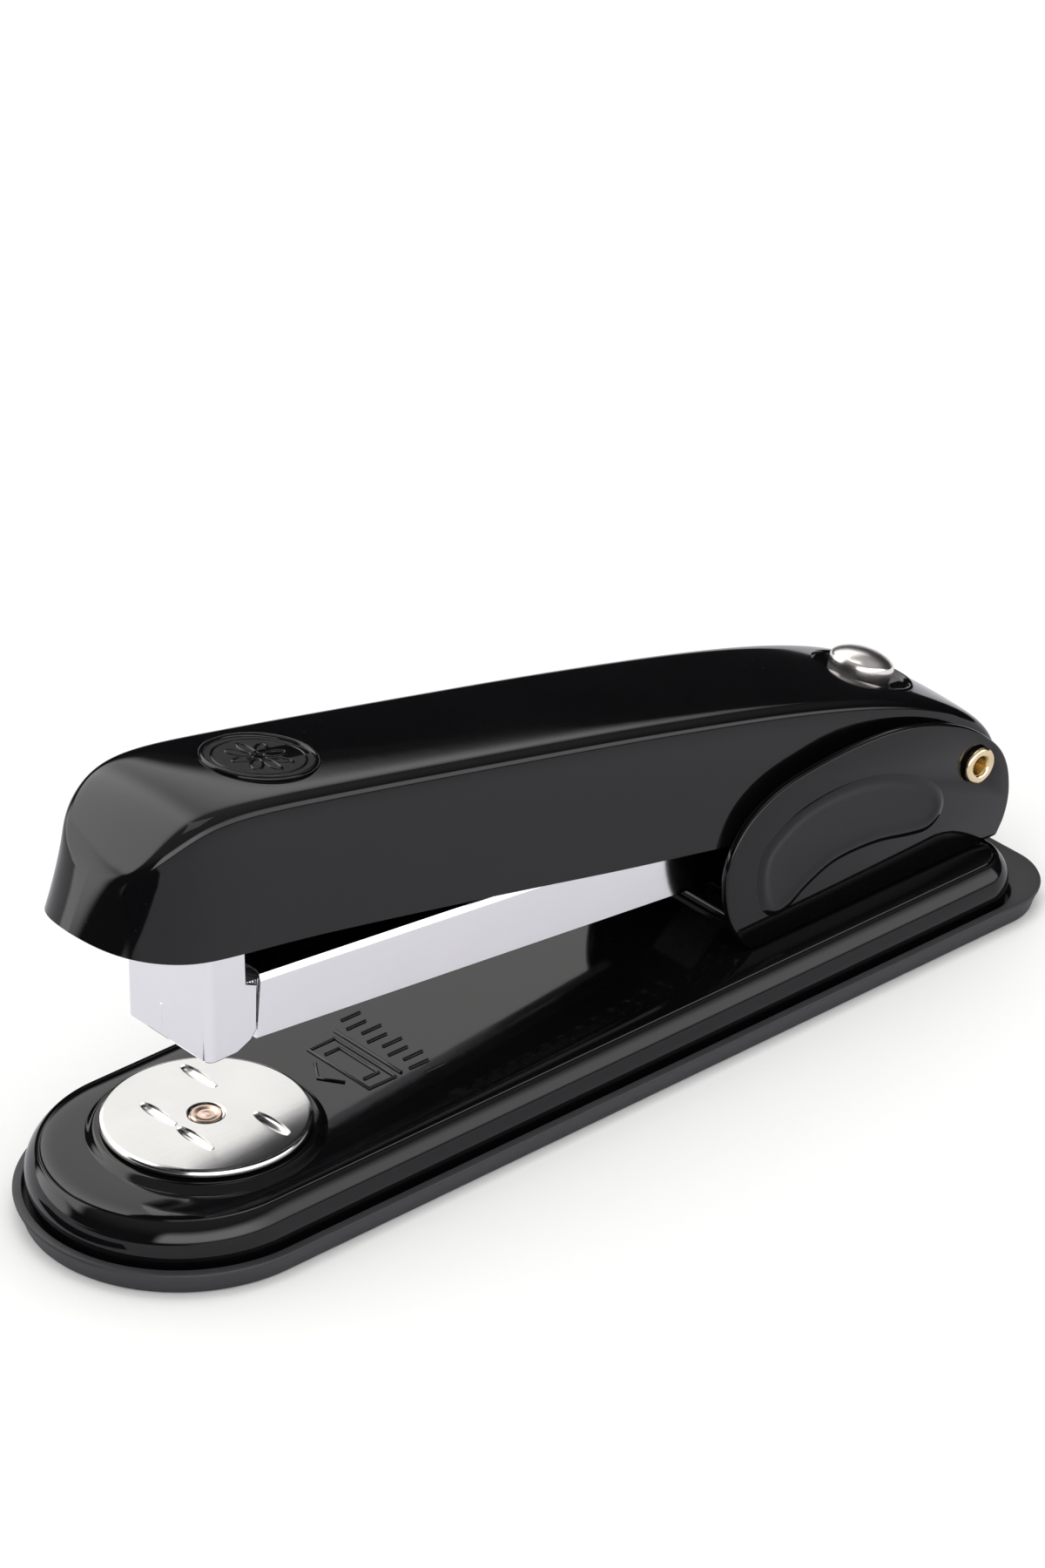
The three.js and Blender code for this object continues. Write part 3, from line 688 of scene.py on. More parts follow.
def coil_tool() -> NodeTool:
    """A coil of round wire about Z, from the origin upwards.

    Returns:
        The tool, with Turns, Radius, Height and Wire inputs.
    """
    tool = NodeTool(
        "coil_spring",
        {
            "Turns": ("NodeSocketFloat", 8.0),
            "Radius": ("NodeSocketFloat", 0.004),
            "Height": ("NodeSocketFloat", 0.015),
            "Wire": ("NodeSocketFloat", 0.0005),
        },
    )
    spiral = tool.add(
        "GeometryNodeCurveSpiral",
        {
            "Rotations": tool.given.outputs["Turns"],
            "Start Radius": tool.given.outputs["Radius"],
            "End Radius": tool.given.outputs["Radius"],
            "Height": tool.given.outputs["Height"],
        },
        Resolution=28,
    )
    tool.sweep(spiral.outputs[0], tool.given.outputs["Wire"])
    return tool


def row_tool() -> NodeTool:
    """Copies of the input in a straight row.

    Returns:
        The tool, with Count and Step inputs; the step is a vector in metres.
    """
    step = ("NodeSocketVector", (0.0, 0.001, 0.0))
    tool = NodeTool("row_of_copies", {"Count": ("NodeSocketInt", 10), "Step": step})
    given = tool.given.outputs
    line = tool.add("GeometryNodeMeshLine", {"Count": given["Count"], "Offset": given["Step"]})
    links = {"Points": line.outputs[0], "Instance": given["Geometry"]}
    copies = tool.add("GeometryNodeInstanceOnPoints", links)
    tool.end(copies.outputs[0])
    return tool


def circle_tool() -> NodeTool:
    """Copies of the input turned about Z in a circle.

    Returns:
        The tool, with a Count input.
    """
    tool = NodeTool("circle_of_copies", {"Count": ("NodeSocketInt", 8)})
    points = tool.add("GeometryNodePoints", {"Count": tool.given.outputs["Count"]})
    number = tool.tree.nodes.new("GeometryNodeInputIndex")
    turn = add_math(tool.tree, "DIVIDE", 2 * math.pi, tool.given.outputs["Count"])
    angle = add_math(tool.tree, "MULTIPLY", number.outputs[0], turn)
    rotation = tool.add("ShaderNodeCombineXYZ", {"Z": angle})
    copies = tool.add(
        "GeometryNodeInstanceOnPoints",
        {
            "Points": points.outputs[0],
            "Instance": tool.given.outputs["Geometry"],
            "Rotation": rotation.outputs[0],
        },
    )
    tool.end(copies.outputs[0])
    return tool


# ---------------------------------------------------------------- workshop


@dataclass
class Workshop:
    """The built materials and tools."""

    materials: dict[str, bpy.types.Material] = field(default_factory=dict)
    ridge: NodeTool = field(default_factory=ridge_tool)
    coil: NodeTool = field(default_factory=coil_tool)
    row: NodeTool = field(default_factory=row_tool)
    circle: NodeTool = field(default_factory=circle_tool)

    def material(self, finish: Finish) -> bpy.types.Material:
        """The material of a finish, built once."""
        if finish.name not in self.materials:
            self.materials[finish.name] = finish.build()
        return self.materials[finish.name]

    def dress(self, made: bpy.types.Object, body: str, finish: Finish, *nodes: str) -> bpy.types.Object:
        """Gives a piece its finish, its body and the frame nodes it stands for.

        Args:
            made: The piece.
            body: The body that it rides on.
            finish: Its finish.
            nodes: The frame nodes that it replaces.

        Returns:
            The piece.
        """
        made.data.materials.clear()
        made.data.materials.append(self.material(finish))
        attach(made, body)
        if nodes:
            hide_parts(*nodes)
        log.info("%s rides on %s in %s", made.name, body, finish.name)
        return made

    def refine(self, node: str, body: str, finish: Finish, edge_mm: float = 0.12) -> bpy.types.Object:
        """A merged copy of a frame node with rounded edges.

        Args:
            node: The frame node.
            body: The body that it rides on.
            finish: Its finish.
            edge_mm: The rounding of its edges.

        Returns:
            The piece.
        """
        mesh = frame["nodes"][node].data.copy()
        made = bpy.data.objects.new(node + "_finished", mesh)
        bpy.context.scene.collection.objects.link(made)
        work = bmesh.new()
        work.from_mesh(mesh)
        bmesh.ops.remove_doubles(work, verts=work.verts, dist=2e-6)
        bmesh.ops.dissolve_limit(work, angle_limit=math.radians(1.0), verts=work.verts, edges=work.edges)
        work.to_mesh(mesh)
        work.free()
        bevel(made, edge_mm)
        return self.dress(made, body, finish, node)

    def path(self, name: str, points: list[Point], radius_mm: float, finish: Finish,
             closed: bool = False) -> bpy.types.Object:
        """A round ridge along points.

        Args:
            name: The piece's name.
            points: Points in millimetres.
            radius_mm: The ridge's radius.
            finish: Its finish.
            closed: Whether it returns to its start.

        Returns:
            The piece, not yet dressed.
        """
        mesh = bpy.data.meshes.new(name)
        count = len(points)
        edges = [(i, (i + 1) % count) for i in range(count if closed else count - 1)]
        mesh.from_pydata([tuple(float(c) * MM for c in p) for p in points], edges, [])
        made = bpy.data.objects.new(name, mesh)
        bpy.context.scene.collection.objects.link(made)
        return self.ridge.run(made, self.material(finish), Radius=radius_mm * MM)


def box_mm(node: str) -> tuple[np.ndarray, np.ndarray]:
    """A frame node's lowest and highest corner in millimetres."""
    low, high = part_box(node)
    return np.array(low) / MM, np.array(high) / MM


def joint_place(name: str) -> np.ndarray:
    """A hinge's place in millimetres."""
    return next(np.array(j["pos_m"]) / MM for j in frame["joints"] if j["name"] == name)


def joint_axis(name: str) -> Vector:
    """A joint's axis."""
    return next(Vector(j["axis"]) for j in frame["joints"] if j["name"] == name)


def pivot_hole(name: str, y: float, z: float) -> bpy.types.Object:
    """A long cutter that opens the pivot's hole through both sides."""
    profile = [(0.0, -20.0), (2.2, -20.0), (2.2, 20.0), (0.0, 20.0)]
    return lathe(name, profile, (0.0, y, z), Axis.X, 48)


def merge(name: str, pieces: list[bpy.types.Object]) -> bpy.types.Object:
    """Puts several closed meshes in one object.

    Args:
        name: The new object's name.
        pieces: The objects; they are removed.

    Returns:
        The object.
    """
    work = bmesh.new()
    for piece in pieces:
        work.from_mesh(piece.data)
    mesh = bpy.data.meshes.new(name)
    work.to_mesh(mesh)
    work.free()
    for piece in pieces:
        bpy.data.objects.remove(piece)
    made = bpy.data.objects.new(name, mesh)
    bpy.context.scene.collection.objects.link(made)
    shade(made, 50.0)
    return made


# ---------------------------------------------------------------- base


@dataclass
class Base:
    """The rubber foot, the enamelled pan with its bead, the anvil boss and the embossing."""

    shop: Workshop
    sheet: float = 1.1
    wall_top: float = 5.4
    pan_top: float = 9.3
    mark_level: float = 9.62
    mark_radius: float = 0.27
    bead: float = 1.6
    groove: float = 0.32
    crown: float = 0.3
    foot_flare: float = 1.1
    pan_corner: float = 6.5
    foot_corner: float = 8.6

    def footprint(self, half: float, rear: float, corner: float, inset: float, z: float) -> list[Point]:
        """A ring with a half-round front and rounded rear corners.

        Args:
            half: Half the width.
            rear: The rear edge.
            corner: The radius of the rear corners.
            inset: How far it is drawn in.
            z: Its height.

        Returns:
            The ring's points.
        """
        low, _ = box_mm("base_pan")
        centre = low[1] + 20.3
        half, rear, corner = half - inset, rear - inset, max(corner - inset, 0.05)
        ring: list[Point] = []

        def arc(x: float, y: float, radius: float, start: float, end: float, steps: int) -> None:
            """Adds an arc to the ring."""
            for i in range(steps + 1):
                angle = start + (end - start) * i / steps
                ring.append((x + radius * math.cos(angle), y + radius * math.sin(angle), z))

        arc(0, centre, half, math.pi, 2 * math.pi, 96)
        for t in np.linspace(0, 1, 25)[1:-1]:
            ring.append((half, centre + (rear - corner - centre) * float(t), z))
        arc(half - corner, rear - corner, corner, 0, math.pi / 2, 20)
        arc(corner - half, rear - corner, corner, math.pi / 2, math.pi, 20)
        for t in np.linspace(1, 0, 25)[1:-1]:
            ring.append((-half, centre + (rear - corner - centre) * float(t), z))
        return ring

    def build_foot(self) -> None:
        """Makes the rubber foot with its flared side, ledge and recessed sole."""
        rim, rear, top = box_mm("rubber_foot")[1]
        pan_half, pan_rear, _ = box_mm("base_pan")[1]
        profile = [
            (self.foot_flare + 2.6, 0.5), (self.foot_flare + 2.2, 0.08), (self.foot_flare + 1.8, 0.0),
            (self.foot_flare + 0.35, 0.0), (self.foot_flare, 0.25), (0.45, top - 1.3), (0.05, top - 0.55),
            (0.0, top - 0.35), (0.12, top - 0.1), (0.4, top),
        ]
        rings = [self.footprint(rim, rear, self.foot_corner + self.foot_flare, inset, z) for inset, z in profile]
        for inset, z in ((-0.45, top), (-0.3, top - 0.2), (-0.3, 1.6)):
            rings.append(self.footprint(pan_half, pan_rear, self.pan_corner, inset, z))
        foot = mesh_object("rubber_foot_moulded", *loft(rings), smooth_deg=40)
        self.shop.dress(foot, "base", RUBBER, "rubber_foot")

    def build_pan(self) -> None:
        """Makes the pan: wall, rolled bead, groove and a slightly crowned top."""
        low, high = box_mm("base_pan")
        half, rear, top = high[0], high[1], self.pan_top
        rise = top - 0.05 - self.wall_top
        steps = [float(t) for t in np.linspace(0, 1, 16)]
        bead = [(self.bead * t**2.2, self.wall_top + rise * t) for t in steps]
        outer = [(0.35, low[2]), (0.3, 3.4), (0.14, 4.2), (0.03, 4.9), *bead, (self.bead + 0.12, top + 0.02)]
        floor = top - self.groove
        outer += [(1.84, top - 0.06), (1.96, floor), (2.10, floor), (2.26, top - 0.06), (2.5, top)]
        outer += [(3.0, top + 0.1), (3.9, top + 0.19), (5.2, top + 0.26), (7.2, top + self.crown)]
        outer += [(inset, top + self.crown) for inset in (9.0, 12.0, 15.0, 18.0, 20.0)]
        sheet, roof = self.sheet, top - self.sheet
        inner = [(sheet, low[2]), (sheet + 0.2, self.wall_top), (sheet + 0.5, roof - 0.4), (sheet + 1.4, roof)]
        inner += [(9.0, roof), (15.0, roof), (20.0, roof)]
        loop = [*reversed(inner), *outer]
        rings = [self.footprint(half, rear, self.pan_corner, inset, z) for inset, z in loop]
        pan = mesh_object("base_pan_pressed", *loft(rings), smooth_deg=42)
        self.shop.dress(pan, "base", ENAMEL, "base_pan")

    def build_boss(self) -> None:
        """Makes the raised round seat under the anvil."""
        anvil_low, _ = box_mm("anvil_disc")
        seat = anvil_low[2] - 0.3
        centre = joint_place("anvil_turn")
        foot, shoulder, start = 15.8, 14.3, 9.5
        profile = [(0.0, start - 0.4), (foot, start - 0.4)]
        for t in np.linspace(0, 1, 16):
            eased = float(t * t * (3 - 2 * t))
            profile.append((foot + (shoulder - foot) * float(t), start + (seat - start) * eased))
        profile += [(14.0, seat + 0.01), (0.0, seat + 0.01)]
        boss = lathe("anvil_seat_boss", profile, (0.0, centre[1], 0.0), smooth_deg=50)
        self.shop.dress(boss, "base", ENAMEL)

    def build_marks(self) -> None:
        """Raises plain marks on the pan's top: bars, a rule, a frame, a staple shape and a chevron."""
        z = self.mark_level
        bars = enumerate((k * 2.1, 0.8 * (k % 2)) for k in range(-4, 5))
        lines = {f"bar_{k}": ([(x, -21.6 - lean, z), (x, -24.7 - lean, z)], False) for k, (x, lean) in bars}
        lines |= {
            "rule": ([(-7.0, -27.0, z), (6.4, -27.0, z)], False),
            "frame_mark": ([(-5.6, -32.6, z), (-5.6, -28.2, z), (6.6, -28.2, z), (6.6, -32.6, z)], True),
            "staple_mark": ([(-3.4, -31.6, z), (-3.4, -29.2, z), (4.4, -29.2, z), (4.4, -31.6, z)], False),
            "chevron": ([(-2.6, -34.0, z), (0.4, -36.0, z), (3.4, -34.0, z)], False),
        }
        made = [
            self.shop.path(name, points, self.mark_radius, ENAMEL, closed)
            for name, (points, closed) in lines.items()
        ]
        self.shop.dress(merge("pan_marks", made), "base", ENAMEL)

    def build(self) -> None:
        """Builds the whole base."""
        self.build_foot()
        self.build_pan()
        self.build_boss()
        self.build_marks()


@dataclass
class Anvil:
    """The turning anvil plate, its rivet and the spring below."""

    shop: Workshop
    groove_length: float = 7.0
    groove_depth: float = 0.8
    groove_width: float = 1.9
    near: float = 3.75
    far: float = 7.4
    offset: float = 4.75

    def build(self) -> None:
        """Builds the anvil's pieces."""
        low, high = box_mm("anvil_disc")
        centre = joint_place("anvil_turn")
        y, radius, top, bottom = centre[1], high[0], high[2], low[2]
        profile = [
            (1.7, bottom), (radius - 0.3, bottom), (radius - 0.05, bottom + 0.12), (radius, bottom + 0.4),
            (radius - 0.04, top - 0.4), (radius - 0.2, top - 0.14), (radius - 0.5, top - 0.02),
            (radius - 0.62, top), (radius - 0.8, top),
            (2.7, top), (2.5, top - 0.01), (2.38, top - 0.1),
            (2.4, top - 0.5), (1.7, top - 0.5), (1.7, bottom),
        ]
        disc = lathe("anvil_plate", profile, (0.0, y, 0.0), segments=128, smooth_deg=40)
        cutters = []
        spots = [(side * x, dy) for x, dy in ((self.near, -self.offset), (self.far, self.offset)) for side in (1, -1)]
        boat = [(math.sin(a) ** 0.7, -math.cos(a)) for a in np.linspace(0, math.pi, 33)]
        for x, dy in spots:
            cutter = lathe(f"cutter_{len(cutters)}", boat, (0.0, 0.0, 0.0), Axis.X, 40)
            size = Matrix.Diagonal((self.groove_length / 2, self.groove_width / 2, self.groove_depth, 1.0))
            cutter.data.transform(Matrix.Translation(Vector((x, y + dy, top)) * MM) @ size)
            cutters.append(cutter)
        carve(disc, cutters)
        self.shop.dress(disc, "anvil", DIMMED_ANVIL_CHROME, "anvil_disc")
        foot = box_mm("anvil_rivet")[0][2]
        head = [
            (0.0, foot), (2.9, foot), (3.0, foot + 0.1), (3.0, foot + 0.7), (1.4, foot + 0.7),
            (1.4, top - 0.38), (2.05, top - 0.33), (2.1, top - 0.12), (1.95, top), (1.55, top - 0.02),
            (1.25, top - 0.16), (0.95, top - 0.2), (0.55, top - 0.1), (0.0, top - 0.06),
        ]
        rivet = lathe("anvil_rivet_turned", head, (0.0, y, 0.0), segments=48)
        self.shop.dress(rivet, "base", COPPER, "anvil_rivet")
        self.shop.refine("anvil_spring", "base", SPRING_STEEL, 0.05)


# ---------------------------------------------------------------- bracket


@dataclass
class Bracket:
    """The two cheeks with their pressed crescents, the floor between them, its rivets and the pivot."""

    shop: Workshop
    outline: Flat = field(default_factory=lambda: [
        (73.2, 9.65), (74.6, 12.0), (75.35, 14.6), (75.45, 17.2), (74.9, 20.3), (73.3, 23.4), (70.2, 26.5),
        (66.2, 29.3), (60.9, 31.6), (54.2, 33.3), (46.8, 33.8), (39.2, 33.4), (33.0, 32.4), (28.0, 30.2),
        (24.9, 27.2), (23.2, 23.8), (22.8, 20.5), (23.3, 16.6), (24.6, 13.2), (26.9, 10.4), (27.7, 9.65),
    ])
    crescent: Flat = field(default_factory=lambda: [
        (30.1, 23.9), (32.4, 25.7), (36.6, 27.6), (42.7, 28.3), (48.8, 27.7), (53.7, 26.2), (58.2, 24.0),
        (61.3, 21.4), (62.2, 19.0), (61.4, 17.2), (59.5, 16.3), (56.3, 16.7), (49.8, 18.0), (42.5, 18.0),
        (37.2, 16.1), (34.0, 14.2), (31.6, 13.9), (29.7, 15.5), (28.9, 18.8), (29.1, 21.8),
    ])
    sheet: float = 1.2

    def cheek(self, side: int) -> bpy.types.Object:
        """One cheek plate with its pivot hole.

        Args:
            side: 1 for the right cheek, -1 for the left.

        Returns:
            The plate.
        """
        outer = box_mm("cheek_bracket")[1][0]
        ends = sorted((side * (outer - self.sheet), side * outer))
        edge = smooth_path(self.outline, 110)
        plate = slab("cheek", [tuple(p) for p in edge], ends[0], ends[1])
        y, z = joint_place("magazine_swing")[1:]
        carve(plate, [pivot_hole("cheek_hole", y, z)])
        return bevel(plate, 0.38, 3, 40)

    def swell(self, side: int) -> bpy.types.Object:
        """The raised crescent on a cheek.

        Args:
            side: 1 for the right cheek, -1 for the left.

        Returns:
            The raised panel.
        """
        face = box_mm("cheek_bracket")[1][0]
        line = smooth_path(self.crescent, 96, closed=True)
        ahead, behind = np.roll(line, -1, axis=0), np.roll(line, 1, axis=0)
        along = ahead - behind
        inward = np.stack([along[:, 1], -along[:, 0]], axis=1) / np.linalg.norm(along, axis=1)[:, None]
        steps = [(-0.55, -0.3), (-0.5, 0.02), (0.0, 0.2), (0.4, 0.3), (0.9, 0.24), (1.4, 0.12), (1.9, 0.08)]
        rings = []
        for draw, lift in steps:
            moved = line + inward * draw
            rings.append([(side * (face + lift), float(y), float(z)) for y, z in moved])
        return mesh_object("crescent", *loft(rings), smooth_deg=60)

    def build(self) -> None:
        """Builds the bracket, its rivets and the pivot pieces."""
        for side, label in ((1, "right"), (-1, "left")):
            plate = merge(f"cheek_{label}", [self.cheek(side), self.swell(side)])
            self.shop.dress(plate, "base", ENAMEL, *(["cheek_bracket"] if side > 0 else []))
        outer = box_mm("cheek_bracket")[1][0] - 0.6
        floor = slab("bracket_floor", [(-outer, 30), (outer, 30), (outer, 72), (-outer, 72)], 9.62, 10.8, Axis.Z)
        self.shop.dress(bevel(floor, 0.3, 3), "base", ENAMEL)
        for k in (1, 2, 3):
            node = f"bracket_rivet_{k}"
            low, high = box_mm(node)
            x, y = (low[0] + high[0]) / 2, (low[1] + high[1]) / 2
            seat = high[2] - 1.1
            profile = [
                (0.0, low[2]), (2.3, low[2]), (2.8, low[2] + 0.9), (1.5, low[2] + 1.0), (1.5, seat), (2.8, seat),
                (2.75, seat + 0.25), (2.4, seat + 0.65), (1.7, seat + 0.95), (0.8, seat + 1.08), (0.0, seat + 1.1),
            ]
            rivet = lathe(node + "_headed", profile, (x, y, 0.0), segments=40, smooth_deg=50)
            self.shop.dress(rivet, "base", STEEL, node)
        self.eyelet()
        leaf = self.shop.refine("lift_spring", "base", SPRING_STEEL, 0.08)
        low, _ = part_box("lift_spring")
        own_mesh(leaf)
        for node in ("pivot_sleeve", "pivot_washer_left", "pivot_washer_right"):
            self.shop.refine(node, "base", STEEL, 0.08)

    def eyelet(self) -> None:
        """Turns the hollow brass pivot with its rolled ends."""
        _, high = box_mm("pivot_eyelet")
        y, z = joint_place("magazine_swing")[1:]
        end = high[0]
        half = [
            (1.3, end - 0.55), (1.42, end - 0.2), (1.75, end - 0.02), (2.1, end), (2.45, end - 0.12),
            (2.65, end - 0.36), (2.62, end - 0.55), (2.4, end - 0.6), (1.9, end - 0.6),
        ]
        loop = [*half, *[(r, -h) for r, h in reversed(half)], half[0]]
        rolled = lathe("pivot_eyelet_rolled", loop, (0.0, y, z), Axis.X, 64, 50)
        self.shop.dress(rolled, "base", BRASS, "pivot_eyelet")


# ---------------------------------------------------------------- magazine and rail


@dataclass
class Magazine:
    """The channel, the latch and the sliding rail with its staples, pusher and springs."""

    shop: Workshop
    staple_pitch: float = 0.5
    staple_wire: float = 0.46
    strip_length: float = 39.5
    strip_front: float = -126.25

    def local(self, made: bpy.types.Object) -> bpy.types.Object:
        """Moves a mesh made in the magazine's own tilted frame to its place.

        Args:
            made: The object, with its mesh at the pivot.

        Returns:
            The object.
        """
        made.data.transform(self.frame())
        return made

    @staticmethod
    def frame() -> Matrix:
        """The magazine's own frame: at the pivot, tilted with the rail."""
        axis = joint_axis("rail_slide")
        place = Vector(joint_place("magazine_swing")) * MM
        return Matrix.Translation(place) @ Matrix.Rotation(math.atan2(axis.z, axis.y), 4, "X")

    def staples(self) -> None:
        """Makes the strip of staples, one by one."""
        outer, top, low, w = 6.6, -0.8, -6.8, 0.6
        section = [
            (-outer, low), (w - outer, low), (w - outer, top - 0.5), (outer - w, top - 0.5), (outer - w, low),
            (outer, low), (outer, top - 0.25), (outer - 0.25, top), (0.25 - outer, top), (-outer, top - 0.25),
        ]
        start = self.strip_front
        one = slab("staple_strip_wires", section, start, start + self.staple_wire, Axis.Y)
        bevel(one, 0.08, 1)
        count = int(self.strip_length / self.staple_pitch)
        step = (0.0, self.staple_pitch * MM, 0.0)
        self.shop.row.run(one, self.shop.material(STAPLE_WIRE), Count=count, Step=step)
        self.shop.dress(self.local(one), "rail", STAPLE_WIRE, "staple_strip")

    def spring(self, name: str, node: str, body: str, turns: float, radius: float, wire: float,
               start: float, end: float, place: Matrix) -> bpy.types.Object:
        """A coil spring in place of a frame node.

        Args:
            name: The piece's name.
            node: The frame node that it stands for.
            body: The body that it rides on.
            turns: Its turns.
            radius: The coil's radius.
            wire: The wire's radius.
            start: Where it starts along its axis.
            end: Where it ends.
            place: The turn and shift from the coil's own frame.

        Returns:
            The spring.
        """
        made = bpy.data.objects.new(name, bpy.data.meshes.new(name))
        bpy.context.scene.collection.objects.link(made)
        height = end - start - 2 * wire
        sizes = {"Radius": radius * MM, "Height": height * MM, "Wire": wire * MM}
        self.shop.coil.run(made, self.shop.material(SPRING_STEEL), Turns=turns, **sizes)
        made.data.transform(place @ Matrix.Translation((0, 0, (start + wire) * MM)))
        return self.shop.dress(made, body, SPRING_STEEL, node)

    def build(self) -> None:
        """Builds the magazine."""
        self.shop.refine("magazine_channel", "magazine", CHROME, 0.18)
        self.shop.refine("latch_lever", "latch", STEEL, 0.1)
        self.shop.refine("latch_pin", "magazine", STEEL, 0.08)
        leaf = self.shop.refine("latch_spring", "magazine", SPRING_STEEL, 0.05)
        low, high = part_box("latch_spring")
        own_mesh(leaf)
        self.shop.refine("staple_rail", "rail", STEEL, 0.1)
        self.shop.refine("spring_rod", "rail", STEEL, 0.1)
        self.shop.refine("pusher", "pusher", STEEL, 0.1)
        self.shop.refine("nose_cap", "rail", CHROME, 0.2)
        face = float(box_mm("nose_cap")[0][1]) + 0.04
        tick = self.shop.path("nose_tick", [(-1.1, face, 26.6), (-1.1, face, 30.1)], 0.14, CHROME)
        self.shop.dress(tick, "rail", CHROME)
        self.staples()
        turn = Matrix.Rotation(-math.pi / 2, 4, "X")
        rod = Matrix.Translation((0, 0, -4.6 * MM))
        along = self.frame() @ rod @ turn
        coil = self.spring("pusher_spring_coil", "pusher_spring", "rail", 22, 1.9, 0.3, -78.1, -13.4, along)
        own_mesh(coil)
        low, high = box_mm("cover_spring")
        y = (low[1] + high[1]) / 2
        upright = Matrix.Translation((0, y * MM, 0))
        coil = self.spring("cover_spring_coil", "cover_spring", "magazine", 7, 4, 0.5, low[2], high[2], upright)
        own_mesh(coil)


# ---------------------------------------------------------------- cover


@dataclass
class Cover:
    """The pressed top cover: a long crowned roof, leaning sides and a nose that turns down in front.

    The roof's edge and the lower edge are given as (half width, y, z) from the rear end to the middle of the nose.
    """

    shop: Workshop
    roof_edge: list[Point] = field(default_factory=lambda: [
        (11.3, 74.7, 15.8), (11.3, 76.15, 18.4), (11.3, 76.3, 20.8), (11.25, 75.3, 23.7), (11.2, 73.0, 26.6),
        (11.2, 69.1, 29.7), (11.2, 64.5, 32.4), (11.2, 57.6, 35.5), (11.2, 48.3, 38.7), (11.2, 36.1, 42.1),
        (11.2, 24.2, 45.0), (11.2, 8.0, 48.8), (11.2, -10.5, 52.8), (11.2, -25.4, 56.0), (11.2, -36.2, 58.3),
        (11.2, -46.9, 60.5), (11.2, -54.5, 61.9), (11.0, -60.0, 62.3), (10.5, -63.8, 61.4), (9.5, -66.8, 59.5),
        (8.0, -68.9, 57.4), (5.6, -70.4, 55.6), (2.8, -71.1, 54.6), (0.0, -71.3, 54.3),
    ])
    lower_edge: list[Point] = field(default_factory=lambda: [
        (12.0, 74.3, 15.7), (12.15, 73.5, 15.7), (12.2, 72.0, 15.7), (12.2, 69.5, 15.7), (12.2, 66.5, 15.7),
        (12.2, 63.2, 15.9), (12.2, 58.5, 18.2), (12.2, 52.0, 19.9), (12.2, 44.0, 21.7), (12.2, 33.0, 24.1),
        (12.2, 22.0, 26.6), (12.2, 8.0, 29.2), (12.2, -10.5, 33.3), (12.2, -25.4, 36.4), (12.2, -36.2, 38.6),
        (12.2, -46.9, 40.7), (12.2, -54.5, 41.9), (12.15, -61.0, 42.9), (11.8, -65.2, 43.8), (10.8, -68.9, 44.9),
        (8.9, -71.8, 45.8), (6.2, -73.7, 46.5), (3.2, -74.6, 46.9), (0.0, -74.8, 47.0),
    ])
    crown: float = 0.45
    sheet: float = 1.0
    fillet: float = 2.6

    def section(self, top: np.ndarray, low: np.ndarray, roll: float) -> list[Point]:
        """A half loop from the right lower edge over the roof to the left one.

        Args:
            top: The roof edge's point on the right.
            low: The lower edge's point on the right.
            roll: The share of the full crown here.

        Returns:
            The section's points.
        """
        side = top - low
        reach = float(np.linalg.norm(side))
        bow = np.array([0.3, 0.0, 0.0]) * min(1.0, reach / 12)
        round_off = min(self.fillet * max(0.35, min(1.0, (top[0] - 5.0) / 6.0)), 0.45 * reach, 0.45 * top[0])
        wall = top - side * (round_off / max(reach, 1e-3))
        roof = np.array([top[0] - round_off, top[1], top[2]])
        points = [low + side * t - bow * math.sin(math.pi * t) for t in (0.0, 0.05, 0.25, 0.5, 0.72)]
        if reach < 6:
            points = [low + (wall - low) * t for t in (0.0, 0.1, 0.3, 0.6, 0.85)]
        for t in (0.0, 0.3, 0.5, 0.7, 1.0):
            points.append((1 - t) ** 2 * wall + 2 * t * (1 - t) * top + t**2 * roof)
        for share in (0.7, 0.45, 0.2):
            lift = self.crown * roll * (1 - (share / 0.85) ** 2)
            points.append(np.array([roof[0] * share / 0.85, top[1], top[2] + lift]))
        right = [tuple(p) for p in points]
        middle = (0.0, float(top[1]), float(top[2] + self.crown * roll))
        return [*right, middle, *[(-x, y, z) for x, y, z in reversed(right)]]

    def shell(self) -> bpy.types.Object:
        """The cover's sheet as a closed shell.

        Returns:
            The shell.
        """
        tops, lows = np.array(self.roof_edge), np.array(self.lower_edge)
        sections = [self.section(top, low, min(1.0, top[0] / 11.0)) for top, low in zip(tops, lows)]
        vertices, faces = loft(sections, closed=False, cap=False)
        made = mesh_object("top_cover_pressed", vertices, faces)
        finer = made.modifiers.new("finer", "SUBSURF")
        finer.levels = finer.render_levels = 3
        thick = made.modifiers.new("sheet", "SOLIDIFY")
        thick.thickness = self.sheet * MM
        thick.offset = -1.0
        thick.use_even_offset = False
        settle(made)
        return made

    def seat(self) -> Matrix:
        """The place and turn of the release button's seat."""
        low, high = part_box("button_cap")
        axis = -joint_axis("button_press")
        turn = Vector((0, 0, 1)).rotation_difference(axis).to_matrix().to_4x4()
        centre = (low + high) / 2 - axis * 0.00065
        return Matrix.Translation(centre) @ turn

    def build(self) -> None:
        """Builds the cover, its button and the pieces under it."""
        shell = self.shell()
        seat = self.seat()
        y, z = joint_place("magazine_swing")[1:]
        hole = pivot_hole("cover_hole", y, z)
        dish_room = lathe("dish_room", [(0.0, -3.2), (6.9, -3.2), (6.9, 4.0), (0.0, 4.0)], (0.0, 0.0, 0.0), segments=96)
        dish_room.data.transform(seat)
        carve(shell, [hole, dish_room])
        self.shop.dress(shell, "cover", ENAMEL, "top_cover")
        self.dish(seat)
        self.button(seat)
        self.emblem()
        self.shop.refine("driver_blade", "cover", STEEL, 0.1)

